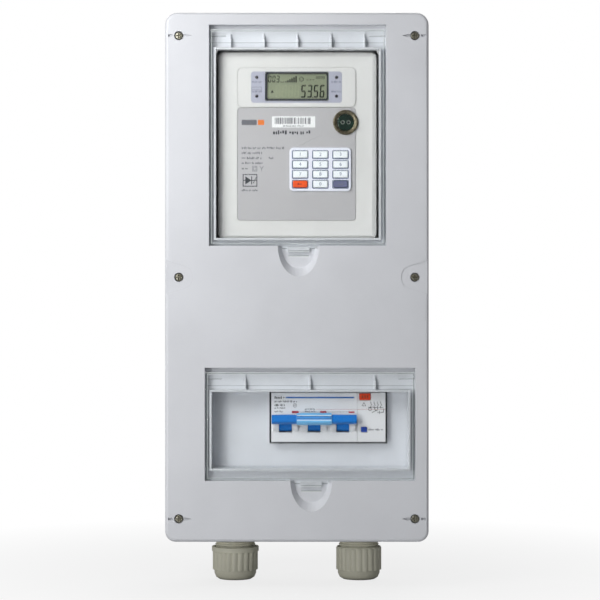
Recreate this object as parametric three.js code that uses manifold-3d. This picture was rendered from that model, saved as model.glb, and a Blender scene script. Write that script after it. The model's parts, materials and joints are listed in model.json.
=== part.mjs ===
// Prepaid electricity meter in a wall-mounted service box.
//
// Units are millimetres. +Z is up and +X is right as seen from the front, which faces -Y.
// The origin is the centre of the flat back face, in the plane Y = 0.

import * as THREE from 'three';
import { mergeVertices } from 'three/addons/utils/BufferGeometryUtils.js';
import Module from 'manifold-3d';

const wasm = await Module();
wasm.setup();

// ---------------------------------------------------------------- driving dimensions

const GAP = 0.3; // fitting gap between separate pieces
const PAST = 1; // how far a cutting solid runs past the surface that it opens

const BOX = {
  width: 239,
  height: 480,
  depth: 130,
  topRadius: 11,
  bottomRadius: 9.5,
  wall: 3,
  rimWall: 5,
  rimDepth: 6,
  edgeRound: 2.6,
  coverDepth: 45.5,
  seam: 0.5,
};
const FRONT = -BOX.depth;
const COVER_REAR = FRONT + BOX.coverDepth;
const HOUSING_FRONT = COVER_REAR + BOX.seam;

const GASKET = { inset: 1.5, width: 2, thickness: 2.2 };

const SCREW = {
  x: 107,
  z: 219,
  headRadius: 3.7,
  headHeight: 2.2,
  rimDrop: 1,
  crownRadius: 3,
  crownDrop: 0.3,
  crossLength: 4.4,
  crossWidth: 0.9,
  crossDepth: 1.3,
  shankRadius: 1.9,
  length: 62,
};
const POST_RADIUS = 5;
const PILOT_RADIUS = SCREW.shankRadius + GAP;
const SIDES = [-1, 1];
const ROWS = [1, 0, -1];
const SCREW_PLACES = ROWS.flatMap((row) => SIDES.map((side) => ({ x: side * SCREW.x, z: row * SCREW.z })));

// Clear windows: each sits in a pocket of the cover, around a raised rim, and swings on a top hinge.
const WINDOW = {
  pane: 2,
  skirt: 1.6,
  skirtDepth: 5,
  cornerRadius: 3,
  axisDepth: 3.5,
  axisDrop: 7.5,
  topLip: 3.4,
  knuckleRadius: 3.4,
  knuckleLength: 15,
  pinRadius: 1.5,
  pinLength: 2.2,
  swingRadius: 5.3,
};
const POCKET = { depth: 10, wall: 2.5, rim: 1.8, rimSetback: 2.5, ribSetback: 5.5, ribWidth: 1.5 };
const UPPER = {
  x: 0.5,
  width: 160.6,
  top: 229,
  bottom: 28.5,
  rim: { width: 151.8, top: 208.7, bottom: 33.9 },
  ribs: { count: 5, pitch: 30.5 },
};
const LOWER = {
  x: 11.9,
  width: 191,
  top: -82,
  bottom: -184.6,
  rim: { width: 182.4, top: -102.2, bottom: -175.6 },
  ribs: { count: 3, pitch: 59 },
};
const WELL_DEPTH = 24;
const BREAKER_CUTOUT = { left: -25.2, right: 82.7, bottom: -152.2, top: -104.6 };

const LATCH = {
  offset: 1,
  shoulderHalf: 15.2,
  shoulderDrop: 3,
  tongueHalf: 10,
  tongueDrop: 4.8,
  tongueRear: 2.8,
  lipHalf: 9.3,
  lipDrop: 10.5,
  lipFront: 1,
  lipRear: 2.4,
  ledgeTop: 1.2,
  ledgeFront: 4,
};
const RECESS = { halfWidth: 19.3, height: 29, depth: 8, floorScaleX: 0.8, floorScaleZ: 0.7 };
const LOBE = {
  depth: 0.5,
  rise: 19,
  reach: 10,
  shoulder: 7.75,
  nose: 5,
  flare: 6,
  edgeHandle: 11.4,
  screwHandle: 14.2,
  overrun: 2.4,
};
const SEAL_GROOVE = {
  length: 8,
  halfHeight: 1.4,
  belly: 1.7,
  slotStart: 5.6,
  slotEnd: 9.8,
  slotHalf: 1.1,
  depth: 2,
};

const PLATE = { width: 204, height: 400, thickness: 2, front: -36, cornerRadius: 6 };
const STANDOFF = { x: 88, z: 180, radius: 6 };
const WALL_HOLE = { x: 80, z: 220, radius: 3.3, padRadius: 8 };
const BACK_PANEL = { gap: 24, margin: 14, depth: 1.2, radius: 8 };

const RAIL = { height: 35, channel: 27, depth: 7.5, thickness: 1, length: 134 };

// The meter hangs in its own frame: origin in the middle of its front face, local Y = 0 at that face.
const METER = {
  x: 0.5,
  face: -116,
  z: 87,
  width: 147,
  height: 240,
  rear: 79.7,
  split: 40,
  chamfer: 5,
  rearChamfer: 2,
  wall: 2.5,
  radius: 7,
  coverBottom: -54,
  terminalCoverFront: 2,
};
const LABEL = { x: -0.8, z: 16.5, width: 107.8, height: 102.8, thickness: 0.8, radius: 3 };
const DISPLAY = { x: -0.8, z: 86.5, width: 107.8, height: 36, thickness: 1, radius: 5 };
const LCD = {
  x: -0.6,
  z: 87.4,
  width: 57.5,
  height: 26,
  front: 0.9,
  thickness: 5,
  sideRoom: 2,
  endRoom: 1.5,
};
const LENS = { front: -0.4, rear: 0.6, radius: 1.5 };
const LED = {
  x: 36.4,
  z: 8.6,
  drop: 0.4,
  front: -0.7,
  radius: 1.7,
  length: 5,
  capRadius: 1.2,
  capRise: 0.8,
  crown: 1,
};
const PORT = {
  x: 43.9,
  z: 54.5,
  radius: 11.5,
  height: 1.8,
  outerRise: 1.2,
  rimRound: 0.6,
  rimWidth: 2,
  innerRise: 1.1,
  lensRadius: 7.6,
  lensDepth: 4,
  lensEdge: 0.5,
  lensRise: 0.9,
};
const KEYPAD = {
  x: 20.9,
  z: 11.6,
  width: 56.3,
  height: 40.1,
  thickness: 1.4,
  radius: 4,
  pitchX: 18.4,
  pitchZ: 9,
  keyWidth: 13.2,
  lap: 2,
  edgeChamfer: 0.5,
  keyHeight: 6.2,
  keyRadius: 1,
  keyDepth: 3.4,
  keyRise: 0.9,
  keyBevel: 0.4,
};
const KEY_ROWS = [
  ['key_1', 'key_2', 'key_3'],
  ['key_4', 'key_5', 'key_6'],
  ['key_7', 'key_8', 'key_9'],
  ['key_cancel', 'key_0', 'key_enter'],
];

// Pieces inside the meter, behind its face.
const BOARD = { width: 130, front: 14, rear: 15.6, aboveSplit: 8, belowTop: 10 };
const TERMINALS = {
  count: 8,
  pitch: 16,
  width: 136,
  front: 6,
  rear: 74,
  aboveBottom: 5,
  belowSplit: 9,
  portRadius: 4,
  portY: 34,
  portTop: 24,
  screwRadius: 3,
  screwDrop: 32,
  screwDepth: 32,
};
const RELAY = {
  left: -50,
  right: 10,
  front: 52,
  rear: 74,
  bottom: -40,
  top: 10,
  tabInset: 8,
  tabWidth: 8,
  tabFront: 56,
  tabRear: 62,
  tabDrop: 10,
};

// The breaker group: origin at the left end of the nose face, halfway up it.
const BREAKER = {
  x: -23.6,
  face: -114,
  z: -127.8,
  poleWidth: 26.2,
  poles: 3,
  moduleWidth: 26.1,
  nose: 45,
  noseDepth: 22,
  body: 82,
  bodyDepth: 72.3,
  railSlot: 35.8,
  railSlotDepth: 2.4,
};
const CLAMP = { screwRadius: 3.2, screwDepth: 12, portWidth: 9, portReach: 9, portFront: 14, portRear: 24 };
const HANDLE = {
  y: 4,
  z: -7.2,
  drumRadius: 5.7,
  slotRadius: 7.6,
  cheekRadius: 7,
  cheekWidth: 5.4,
  dollyWidth: 11.4,
  dollyThickness: 5,
  barFrom: 9,
  barTo: 15,
  barHalf: 4,
  barRadius: 1.8,
  restAngle: 27.8,
  tieLength: 31.9,
  tieWall: 1,
  tieDepth: 6.8,
  tieRadius: 2.2,
};
const BUTTON = { radius: 0.8, chamfer: 0.4, roomBehind: 3 };
const TEST_BUTTON = { x: 7.2, z: 18.8, width: 10, height: 6, depth: 8, rise: 1.2 };
const RESET_BUTTON = { x: 6.4, z: -11.2, width: 5.2, height: 4.6, depth: 8, rise: 0.6 };

// Each gland group: origin where its axis meets the underside of the box.
const GLAND = {
  x: 58.5,
  y: -42,
  threadRadius: 15.9,
  threadTop: 16,
  bore: 12.5,
  flangeRadius: 24,
  flangeHeight: 7.7,
  neckRadius: 18.9,
  neckBottom: -27,
  pitch: 2.6,
  threadDepth: 1.1,
  ridges: 3,
  crestStart: 0.35,
  crestEnd: 0.65,
  nutTop: -13.7,
  nutBottom: -44.3,
  nutRadius: 21.4,
  rimRadius: 22.2,
  rimHeight: 4,
  plainTopRadius: 20.8,
  plainTopHeight: 1,
  gripLap: 0.5,
  coreRadius: 20.2,
  stepRadius: 19.8,
  stepHeight: 8.8,
  domeRadii: [15.3, 18.2],
  domeHeights: [1.8, 5.5],
  nutBore: 19.5,
  mouthWidth: 0.9,
  mouthDepth: 1.6,
  flutes: 22,
  fluteDepth: 1.1,
  holeRadius: 11.5,
  sealRadius: 16.5,
  sealBore: 9,
  sealLip: 3,
  sealFlare: 1.5,
  locknutRadius: 23,
  locknutHeight: 6,
};

const ROUND = 24; // sides of a full circle on ordinary round pieces
const SMALL_ROUND = 12; // sides of a full circle on screws, pins and lamps
const HIDDEN_ROUND = 8; // sides of a full circle on bosses and holes inside the box
const CORNER = 2; // curve segments in a rounded corner
const FINE_CORNER = 3; // curve segments in the corners of the box itself
const LOBE_SEGMENTS = 6; // curve segments in the pad around a side screw
const OVAL_SEGMENTS = 8; // curve segments in a finger recess
const FLUTE_STEPS = 3; // outline points for each flute of a gland nut

// ---------------------------------------------------------------- solids from three.js geometry

function solidFrom(geometry) {
  const bare = geometry.clone();
  bare.deleteAttribute('normal');
  bare.deleteAttribute('uv');
  const merged = mergeVertices(bare, 1e-4);
  return new wasm.Manifold(new wasm.Mesh({
    numProp: 3,
    vertProperties: new Float32Array(merged.attributes.position.array),
    triVerts: new Uint32Array(merged.index.array),
  }));
}

function geometryFrom(solid) {
  const mesh = solid.getMesh();
  const geometry = new THREE.BufferGeometry();
  geometry.setAttribute('position', new THREE.BufferAttribute(new Float32Array(mesh.vertProperties), 3));
  geometry.setIndex(new THREE.BufferAttribute(new Uint32Array(mesh.triVerts), 1));
  geometry.computeVertexNormals();
  return geometry;
}

const join = (first, ...others) => others.reduce((sum, solid) => sum.add(solid), first);
const cut = (first, ...others) => others.reduce((rest, solid) => rest.subtract(solid), first);

// A rectangular block between two limits on each axis.
function block([x0, x1], [y0, y1], [z0, z1]) {
  const geometry = new THREE.BoxGeometry(x1 - x0, y1 - y0, z1 - z0);
  geometry.translate((x0 + x1) / 2, (y0 + y1) / 2, (z0 + z1) / 2);
  return solidFrom(geometry);
}

// A cylinder along 'x', 'y' or 'z'. Its centre holds the two coordinates across that axis, in order.
function rod(axis, [a, b], radius, [from, to], sides = ROUND) {
  const geometry = new THREE.CylinderGeometry(radius, radius, to - from, sides);
  const middle = (from + to) / 2;
  if (axis === 'x') {
    geometry.rotateZ(Math.PI / 2);
    geometry.translate(middle, a, b);
  } else if (axis === 'y') {
    geometry.translate(a, middle, b);
  } else {
    geometry.rotateX(Math.PI / 2);
    geometry.translate(a, b, middle);
  }
  return solidFrom(geometry);
}

// A profile of [radius, height] points turned about the vertical axis.
function turned(profile, sides = ROUND) {
  const points = profile.map(([radius, height]) => new THREE.Vector2(radius, height));
  const geometry = new THREE.LatheGeometry(points, sides);
  geometry.rotateX(Math.PI / 2);
  return solidFrom(geometry);
}

// A rectangle with rounded corners, centred on (x, z).
function roundedRect(x, z, width, height, topRadius, bottomRadius = topRadius) {
  const [left, right, bottom, top] = [x - width / 2, x + width / 2, z - height / 2, z + height / 2];
  const shape = new THREE.Shape();
  shape.moveTo(left + bottomRadius, bottom);
  shape.absarc(right - bottomRadius, bottom + bottomRadius, bottomRadius, -Math.PI / 2, 0);
  shape.absarc(right - topRadius, top - topRadius, topRadius, 0, Math.PI / 2);
  shape.absarc(left + topRadius, top - topRadius, topRadius, Math.PI / 2, Math.PI);
  shape.absarc(left + bottomRadius, bottom + bottomRadius, bottomRadius, Math.PI, Math.PI * 1.5);
  return shape;
}

// A flat outline drawn in X and Z, given thickness between two Y limits (front first).
function slab(outline, [front, back], curveSegments = CORNER) {
  const geometry = new THREE.ExtrudeGeometry(outline, {
    depth: back - front,
    bevelEnabled: false,
    curveSegments,
  });
  geometry.rotateX(Math.PI / 2);
  geometry.translate(0, back, 0);
  return solidFrom(geometry);
}

// A slab whose front or back edge is rounded (or, with one segment, chamfered).
function edgedSlab(outline, [front, back], round, roundedEnd, bevelSegments = 2, curveSegments = CORNER) {
  const geometry = new THREE.ExtrudeGeometry(outline, {
    depth: back - front,
    bevelThickness: round,
    bevelSize: round,
    bevelOffset: -round,
    bevelSegments,
    curveSegments,
  });
  geometry.rotateX(Math.PI / 2);
  const wide = [-BOX.width, BOX.width];
  const tall = [-BOX.height, BOX.height];
  if (roundedEnd === 'front') {
    geometry.translate(0, back + round, 0);
    return cut(solidFrom(geometry), block(wide, [back, back + 3 * round], tall));
  }
  geometry.translate(0, back - round, 0);
  return cut(solidFrom(geometry), block(wide, [front - 3 * round, front], tall));
}

// A slab that narrows towards the back, about a fixed point.
function taperedSlab(outline, [front, back], [fixedX, fixedZ], [scaleX, scaleZ]) {
  const geometry = new THREE.ExtrudeGeometry(outline, {
    depth: back - front,
    bevelEnabled: false,
    curveSegments: OVAL_SEGMENTS,
  });
  geometry.rotateX(Math.PI / 2);
  geometry.translate(0, back, 0);
  const place = geometry.attributes.position;
  for (let i = 0; i < place.count; i += 1) {
    if (place.getY(i) > (front + back) / 2) {
      place.setX(i, fixedX + (place.getX(i) - fixedX) * scaleX);
      place.setZ(i, fixedZ + (place.getZ(i) - fixedZ) * scaleZ);
    }
  }
  return solidFrom(geometry);
}

// An outline drawn in Y and Z, given width between two X limits.
function barAlongX(outline, [left, right]) {
  const geometry = new THREE.ExtrudeGeometry(outline, {
    depth: right - left,
    bevelEnabled: false,
    curveSegments: CORNER,
  });
  geometry.rotateZ(Math.PI / 2);
  geometry.rotateY(Math.PI / 2);
  geometry.translate(left, 0, 0);
  return solidFrom(geometry);
}

const polygon = (points) => new THREE.Shape(points.map(([x, y]) => new THREE.Vector2(x, y)));

// ---------------------------------------------------------------- box outlines

function boxOutline(inset) {
  return roundedRect(
    0,
    0,
    BOX.width - 2 * inset,
    BOX.height - 2 * inset,
    BOX.topRadius - inset,
    BOX.bottomRadius - inset,
  );
}

const ring = (outerInset, innerInset, yRange) => cut(
  slab(boxOutline(outerInset), yRange),
  slab(boxOutline(innerInset), [yRange[0] - PAST, yRange[1] + PAST]),
);

// ---------------------------------------------------------------- rear housing and what it carries

function rearHousing() {
  const floor = -BOX.wall;
  const shell = cut(
    edgedSlab(boxOutline(0), [HOUSING_FRONT, 0], BOX.edgeRound, 'back', 2, FINE_CORNER),
    slab(boxOutline(BOX.wall), [HOUSING_FRONT + BOX.rimDepth, floor]),
    slab(boxOutline(BOX.rimWall), [HOUSING_FRONT - PAST, HOUSING_FRONT + BOX.rimDepth + PAST]),
  );
  const rodsAt = (places, radius, yRange, sides = HIDDEN_ROUND) => places.map(
    (place) => rod('y', place, radius, yRange, sides),
  );
  const screwPlaces = SCREW_PLACES.map(({ x, z }) => [x, z]);
  const standoffPlaces = ROWS.flatMap((row) => SIDES.map((side) => [side * STANDOFF.x, row * STANDOFF.z]));
  const corners = SIDES.flatMap((sideX) => SIDES.map((sideZ) => [sideX * WALL_HOLE.x, sideZ * WALL_HOLE.z]));
  const posts = rodsAt(screwPlaces, POST_RADIUS, [HOUSING_FRONT, floor + PAST]);
  const standoffTop = PLATE.front + PLATE.thickness + GAP;
  const standoffs = rodsAt(standoffPlaces, STANDOFF.radius, [standoffTop, floor + PAST]);
  const pads = rodsAt(corners, WALL_HOLE.padRadius, [floor - BOX.wall, floor + PAST]);
  const wallHoles = rodsAt(corners, WALL_HOLE.radius, [floor - 2 * BOX.wall, PAST], SMALL_ROUND);
  const pilots = rodsAt(screwPlaces, PILOT_RADIUS, [HOUSING_FRONT - PAST, FRONT + SCREW.length + PAST]);
  const glandHoles = SIDES.map((side) => rod(
    'z',
    [side * GLAND.x, GLAND.y],
    GLAND.threadRadius + GAP,
    [-BOX.height / 2 - PAST, -BOX.height / 2 + BOX.wall + PAST],
  ));
  const solid = join(shell, ...posts, ...standoffs, ...pads);
  return cut(solid, ...wallHoles, ...pilots, ...glandHoles, ...backPanels());
}

// Four shallow panels sunk in the back leave a flat frame and a flat cross that rest on the wall.
function backPanels() {
  const width = (BOX.width - BACK_PANEL.gap) / 2 - BACK_PANEL.margin;
  const height = (BOX.height - BACK_PANEL.gap) / 2 - 3 * BACK_PANEL.margin;
  return SIDES.flatMap((sideX) => SIDES.map((sideZ) => slab(
    roundedRect(
      sideX * (BACK_PANEL.gap + width) / 2,
      sideZ * (BACK_PANEL.gap + height) / 2,
      width,
      height,
      BACK_PANEL.radius,
    ),
    [-BACK_PANEL.depth, PAST],
  )));
}

function coverGasket() {
  const rear = HOUSING_FRONT - GAP;
  return ring(GASKET.inset, GASKET.inset + GASKET.width, [rear - GASKET.thickness, rear]);
}

function mountingPlate() {
  const rear = PLATE.front + PLATE.thickness;
  return slab(roundedRect(0, 0, PLATE.width, PLATE.height, PLATE.cornerRadius), [PLATE.front, rear]);
}

function dinRail() {
  const base = PLATE.front - GAP;
  const front = base - RAIL.depth;
  const [channel, flange, skin] = [RAIL.channel / 2, RAIL.height / 2, RAIL.thickness];
  const section = polygon([
    [base, -channel],
    [base, channel],
    [front + skin, channel],
    [front + skin, flange],
    [front, flange],
    [front, channel - skin],
    [base - skin, channel - skin],
    [base - skin, skin - channel],
    [front, skin - channel],
    [front, -flange],
    [front + skin, -flange],
    [front + skin, -channel],
  ]);
  const middle = BREAKER.x + (BREAKER.poles * BREAKER.poleWidth + BREAKER.moduleWidth) / 2;
  return barAlongX(section, sideRange(middle, RAIL.length)).translate([0, 0, BREAKER.z]);
}

// ---------------------------------------------------------------- front cover

const sideRange = (x, width) => [x - width / 2, x + width / 2];
const ordered = (a, b) => [Math.min(a, b), Math.max(a, b)];

// The moulding behind one window: pocket walls and floor, before it is hollowed.
function pocketBlock(spec) {
  return block(
    sideRange(spec.x, spec.width + 2 * POCKET.wall),
    [FRONT + BOX.wall - PAST, FRONT + POCKET.depth + POCKET.wall],
    [spec.bottom - POCKET.wall, spec.top + POCKET.wall],
  );
}

// The gutter that the window's skirt drops into, around a raised rim that stays a little behind the front.
function pocketCut(spec) {
  const gutter = block(
    sideRange(spec.x, spec.width),
    [FRONT - PAST, FRONT + POCKET.depth],
    [spec.bottom, spec.top],
  );
  const rim = block(
    sideRange(spec.x, spec.rim.width),
    [FRONT + POCKET.rimSetback, FRONT + POCKET.depth + PAST],
    [spec.rim.bottom, spec.rim.top],
  );
  return cut(gutter, rim);
}

function rimOpening(spec, depth) {
  return block(
    sideRange(spec.x, spec.rim.width - 2 * POCKET.rim),
    [FRONT - PAST, FRONT + depth],
    [spec.rim.bottom + POCKET.rim, spec.rim.top - POCKET.rim],
  );
}

// Stiffening ribs across the gutter under the hinge, hollowed where the window's top edge swings past.
function hingeRibs(spec) {
  const swing = rod(
    'x',
    [FRONT + WINDOW.axisDepth, axisHeight(spec)],
    WINDOW.swingRadius,
    sideRange(spec.x, spec.width),
  );
  return Array.from({ length: spec.ribs.count }, (_, i) => {
    const x = spec.x + (i - (spec.ribs.count - 1) / 2) * spec.ribs.pitch;
    const rib = block(
      sideRange(x, POCKET.ribWidth),
      [FRONT + POCKET.ribSetback, FRONT + POCKET.depth + PAST],
      [spec.rim.top - PAST, axisHeight(spec)],
    );
    return cut(rib, swing);
  });
}

const axisHeight = (spec) => spec.top - WINDOW.axisDrop;

function pinHoles(spec) {
  const half = spec.width / 2;
  return SIDES.map((side) => {
    const ends = ordered(spec.x + side * (half - PAST), spec.x + side * (half + POCKET.wall));
    return rod('x', [FRONT + WINDOW.axisDepth, axisHeight(spec)], WINDOW.pinRadius + GAP, ends, SMALL_ROUND);
  });
}

// Half an ellipse hanging from the bottom edge of a pocket.
function recessOutline(spec, grow) {
  const x = spec.x + LATCH.offset;
  const shape = new THREE.Shape();
  shape.moveTo(x - RECESS.halfWidth - grow, spec.bottom + PAST);
  shape.absellipse(
    x,
    spec.bottom,
    RECESS.halfWidth + grow,
    RECESS.height + grow,
    Math.PI,
    Math.PI * 2,
  );
  shape.lineTo(x + RECESS.halfWidth + grow, spec.bottom + PAST);
  return shape;
}

function recessBody(spec, grow, front) {
  return taperedSlab(
    recessOutline(spec, grow),
    [front, FRONT + RECESS.depth + grow],
    [spec.x + LATCH.offset, spec.bottom],
    [RECESS.floorScaleX, RECESS.floorScaleZ],
  );
}

// The ledge inside the recess that the window's tab closes against.
function latchLedge(spec) {
  const x = spec.x + LATCH.offset;
  return block(
    [x - LATCH.tongueHalf, x + LATCH.tongueHalf],
    [FRONT + LATCH.ledgeFront, FRONT + RECESS.depth + PAST],
    [spec.bottom - LATCH.tongueDrop, spec.bottom - LATCH.ledgeTop],
  );
}

// The shallow pad around a screw in the middle of a side: an arc round the screw, swept out to the edge.
function lobeCut(side) {
  const edge = side * (BOX.width / 2 + LOBE.overrun);
  const screw = side * SCREW.x;
  const inner = screw - side * LOBE.reach;
  const sweep = edge - side * LOBE.flare;
  const shape = new THREE.Shape();
  shape.moveTo(edge, LOBE.rise);
  shape.bezierCurveTo(sweep, LOBE.edgeHandle, screw, LOBE.screwHandle, inner, LOBE.shoulder);
  shape.quadraticCurveTo(inner - side * LOBE.nose, 0, inner, -LOBE.shoulder);
  shape.bezierCurveTo(screw, -LOBE.screwHandle, sweep, -LOBE.edgeHandle, edge, -LOBE.rise);
  return slab(shape, [FRONT - PAST, FRONT + LOBE.depth], LOBE_SEGMENTS);
}

// Corner screws have a pointed groove inboard and a short slot outboard for a seal wire.
function sealGrooves({ x, z }) {
  const inboard = -Math.sign(x);
  const start = x + inboard * (SCREW.headRadius - PAST);
  const tip = x + inboard * (SCREW.headRadius + SEAL_GROOVE.length);
  const { halfHeight, belly, slotStart, slotEnd, slotHalf, depth } = SEAL_GROOVE;
  const groove = new THREE.Shape();
  groove.moveTo(start, z - halfHeight);
  groove.quadraticCurveTo((start + tip) / 2, z - belly, tip, z);
  groove.quadraticCurveTo((start + tip) / 2, z + belly, start, z + halfHeight);
  const yRange = [FRONT - PAST, FRONT + depth];
  const slot = ordered(x - inboard * slotStart, x - inboard * slotEnd);
  return [slab(groove, yRange), block(slot, yRange, [z - slotHalf, z + slotHalf])];
}

function screwSeat({ x, z }) {
  const frontOfSeat = z === 0 ? FRONT + LOBE.depth : FRONT;
  return [
    rod('y', [x, z], SCREW.headRadius + 2 * GAP, [FRONT - PAST, frontOfSeat + SCREW.headHeight + GAP]),
    rod('y', [x, z], PILOT_RADIUS, [FRONT, COVER_REAR + PAST], HIDDEN_ROUND),
  ];
}

function frontCover() {
  const inside = FRONT + BOX.wall;
  const rimStart = COVER_REAR - BOX.rimDepth;
  const shell = cut(
    edgedSlab(boxOutline(0), [FRONT, COVER_REAR], BOX.edgeRound, 'front', 3, FINE_CORNER),
    slab(boxOutline(BOX.wall), [inside, rimStart]),
    slab(boxOutline(BOX.rimWall), [rimStart - PAST, COVER_REAR + PAST]),
    ring(
      GASKET.inset - GAP,
      GASKET.inset + GASKET.width + GAP,
      [HOUSING_FRONT - GASKET.thickness - 2 * GAP, COVER_REAR + PAST],
    ),
  );
  const well = block(
    sideRange(LOWER.x, LOWER.rim.width + POCKET.wall),
    [inside - PAST, FRONT + WELL_DEPTH + POCKET.wall],
    [LOWER.rim.bottom - POCKET.wall / 2, LOWER.rim.top + POCKET.wall / 2],
  );
  const posts = SCREW_PLACES.map(
    ({ x, z }) => rod('y', [x, z], POST_RADIUS, [inside - PAST, COVER_REAR], HIDDEN_ROUND),
  );
  const solid = join(
    shell,
    well,
    ...posts,
    ...[UPPER, LOWER].flatMap((spec) => [pocketBlock(spec), recessBody(spec, POCKET.wall, inside - PAST)]),
  );
  const opened = cut(
    solid,
    ...[UPPER, LOWER].flatMap(
      (spec) => [pocketCut(spec), recessBody(spec, 0, FRONT - PAST), ...pinHoles(spec)],
    ),
    rimOpening(UPPER, POCKET.depth + POCKET.wall + PAST),
    rimOpening(LOWER, WELL_DEPTH),
    block(
      [BREAKER_CUTOUT.left, BREAKER_CUTOUT.right],
      [FRONT + WELL_DEPTH - PAST, FRONT + WELL_DEPTH + POCKET.wall + PAST],
      [BREAKER_CUTOUT.bottom, BREAKER_CUTOUT.top],
    ),
    lobeCut(-1),
    lobeCut(1),
    ...SCREW_PLACES.flatMap(screwSeat),
    ...SCREW_PLACES.filter(({ z }) => z !== 0).flatMap(sealGrooves),
  );
  return join(opened, ...[UPPER, LOWER].flatMap((spec) => [...hingeRibs(spec), latchLedge(spec)]));
}

// ---------------------------------------------------------------- cover screws

// Local origin at the top of the head; the shank runs towards the wall.
function coverScrew() {
  const { headRadius, headHeight, shankRadius, length, crossLength, crossWidth } = SCREW;
  const profile = [
    [0, -length],
    [shankRadius, -length],
    [shankRadius, -headHeight],
    [headRadius, -headHeight],
    [headRadius, -SCREW.rimDrop],
    [SCREW.crownRadius, -SCREW.crownDrop],
    [0, 0],
  ];
  const slots = [[crossLength, crossWidth], [crossWidth, crossLength]].map(([width, height]) => block(
    sideRange(0, width),
    sideRange(0, height),
    [-SCREW.crossDepth, PAST],
  ));
  return cut(turned(profile, SMALL_ROUND), ...slots).rotate([90, 0, 0]);
}

// ---------------------------------------------------------------- clear windows

// The tab under a window: wide shoulders, a thicker tongue and a thin finger lip.
function windowTab(spec, bottom) {
  const x = spec.x + LATCH.offset;
  return [
    block(
      [x - LATCH.shoulderHalf, x + LATCH.shoulderHalf],
      [FRONT, FRONT + WINDOW.pane],
      [bottom - LATCH.shoulderDrop, bottom + PAST],
    ),
    block(
      [x - LATCH.tongueHalf, x + LATCH.tongueHalf],
      [FRONT, FRONT + LATCH.tongueRear],
      [bottom - LATCH.tongueDrop, bottom + PAST],
    ),
    block(
      [x - LATCH.lipHalf, x + LATCH.lipHalf],
      [FRONT + LATCH.lipFront, FRONT + LATCH.lipRear],
      [bottom - LATCH.lipDrop, bottom],
    ),
  ];
}

function clearWindow(spec) {
  const half = spec.width / 2 - GAP;
  const [left, right] = [spec.x - half, spec.x + half];
  const bottom = spec.bottom + GAP;
  const axis = axisHeight(spec);
  const top = axis + WINDOW.topLip;
  const outline = (inset) => roundedRect(
    spec.x,
    (top + bottom) / 2,
    2 * (half - inset),
    top - bottom - 2 * inset,
    WINDOW.cornerRadius - inset,
  );
  const hollow = cut(
    slab(outline(0), [FRONT, FRONT + WINDOW.skirtDepth]),
    slab(outline(WINDOW.skirt), [FRONT + WINDOW.pane, FRONT + WINDOW.skirtDepth + PAST]),
  );
  const knuckles = [[left, left + WINDOW.knuckleLength], [right - WINDOW.knuckleLength, right]];
  const centre = [FRONT + WINDOW.axisDepth, axis];
  const pins = [[left - WINDOW.pinLength, left + PAST], [right - PAST, right + WINDOW.pinLength]];
  return join(
    hollow,
    ...knuckles.map((ends) => rod('x', centre, WINDOW.knuckleRadius, ends, SMALL_ROUND)),
    ...pins.map((ends) => rod('x', centre, WINDOW.pinRadius, ends, SMALL_ROUND)),
    ...windowTab(spec, bottom),
  );
}

// ---------------------------------------------------------------- meter, in its own frame

function meterBase() {
  const { width, height, rear, rearChamfer, split, wall, radius } = METER;
  const outline = (inset) => roundedRect(0, 0, width - 2 * inset, height - 2 * inset, radius);
  return cut(
    edgedSlab(outline(0), [split, rear], rearChamfer, 'back'),
    slab(outline(wall), [split - PAST, rear - wall]),
  );
}

const METER_TOP = METER.height / 2;
const COVER_MIDDLE = (METER_TOP + METER.coverBottom) / 2;
const COVER_HEIGHT = METER_TOP - METER.coverBottom;

function meterCover() {
  const { width, split, wall, chamfer, radius } = METER;
  const outline = (inset) => roundedRect(
    0,
    COVER_MIDDLE,
    width - 2 * inset,
    COVER_HEIGHT - 2 * inset,
    radius,
  );
  const shell = cut(
    edgedSlab(outline(0), [0, split - GAP], chamfer, 'front'),
    edgedSlab(outline(wall), [wall, split + PAST], chamfer, 'front', 1),
  );
  const seat = (spec, depth) => slab(
    roundedRect(spec.x, spec.z, spec.width + 2 * GAP, spec.height + 2 * GAP, spec.radius),
    [-PAST, depth],
  );
  const through = [0, wall + PAST];
  return cut(
    shell,
    seat(LABEL, LABEL.thickness),
    seat(DISPLAY, DISPLAY.thickness / 2),
    lcdOpening(LCD.sideRoom, LCD.endRoom, through),
    ...lampHoles(through),
    portHole(through),
    keypadOpening(through),
  );
}

// Openings that several layers of the meter's face share.
function lcdOpening(sideRoom, endRoom, yRange) {
  return block(
    sideRange(LCD.x, LCD.width + 2 * sideRoom),
    yRange,
    sideRange(LCD.z, LCD.height + 2 * endRoom),
  );
}

function keypadOpening(yRange) {
  const { x, z, width, height, lap } = KEYPAD;
  return block(sideRange(x, width - 2 * lap), yRange, sideRange(z, height - 2 * lap));
}

function lampHoles(yRange) {
  return ledPlaces().map((place) => rod('y', place, LED.radius + GAP, yRange, SMALL_ROUND));
}

function portHole(yRange) {
  return rod('y', [PORT.x, PORT.z], PORT.lensRadius + GAP, yRange);
}

const ledPlaces = () => [1, -1].flatMap((row) => SIDES.map((side) => [
  DISPLAY.x + side * LED.x,
  LCD.z - LED.drop + row * LED.z,
]));

const middleIndex = (list) => (list.length - 1) / 2;

const keyPlaces = () => KEY_ROWS.flatMap((names, row) => names.map((name, column) => ({
  name,
  x: KEYPAD.x + (column - middleIndex(names)) * KEYPAD.pitchX,
  z: KEYPAD.z + (middleIndex(KEY_ROWS) - row) * KEYPAD.pitchZ,
})));

function keyOpenings(grow, yRange) {
  return keyPlaces().map(({ x, z }) => slab(
    roundedRect(x, z, KEYPAD.keyWidth + 2 * grow, KEYPAD.keyHeight + 2 * grow, KEYPAD.keyRadius + grow),
    yRange,
    1,
  ));
}

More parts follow.
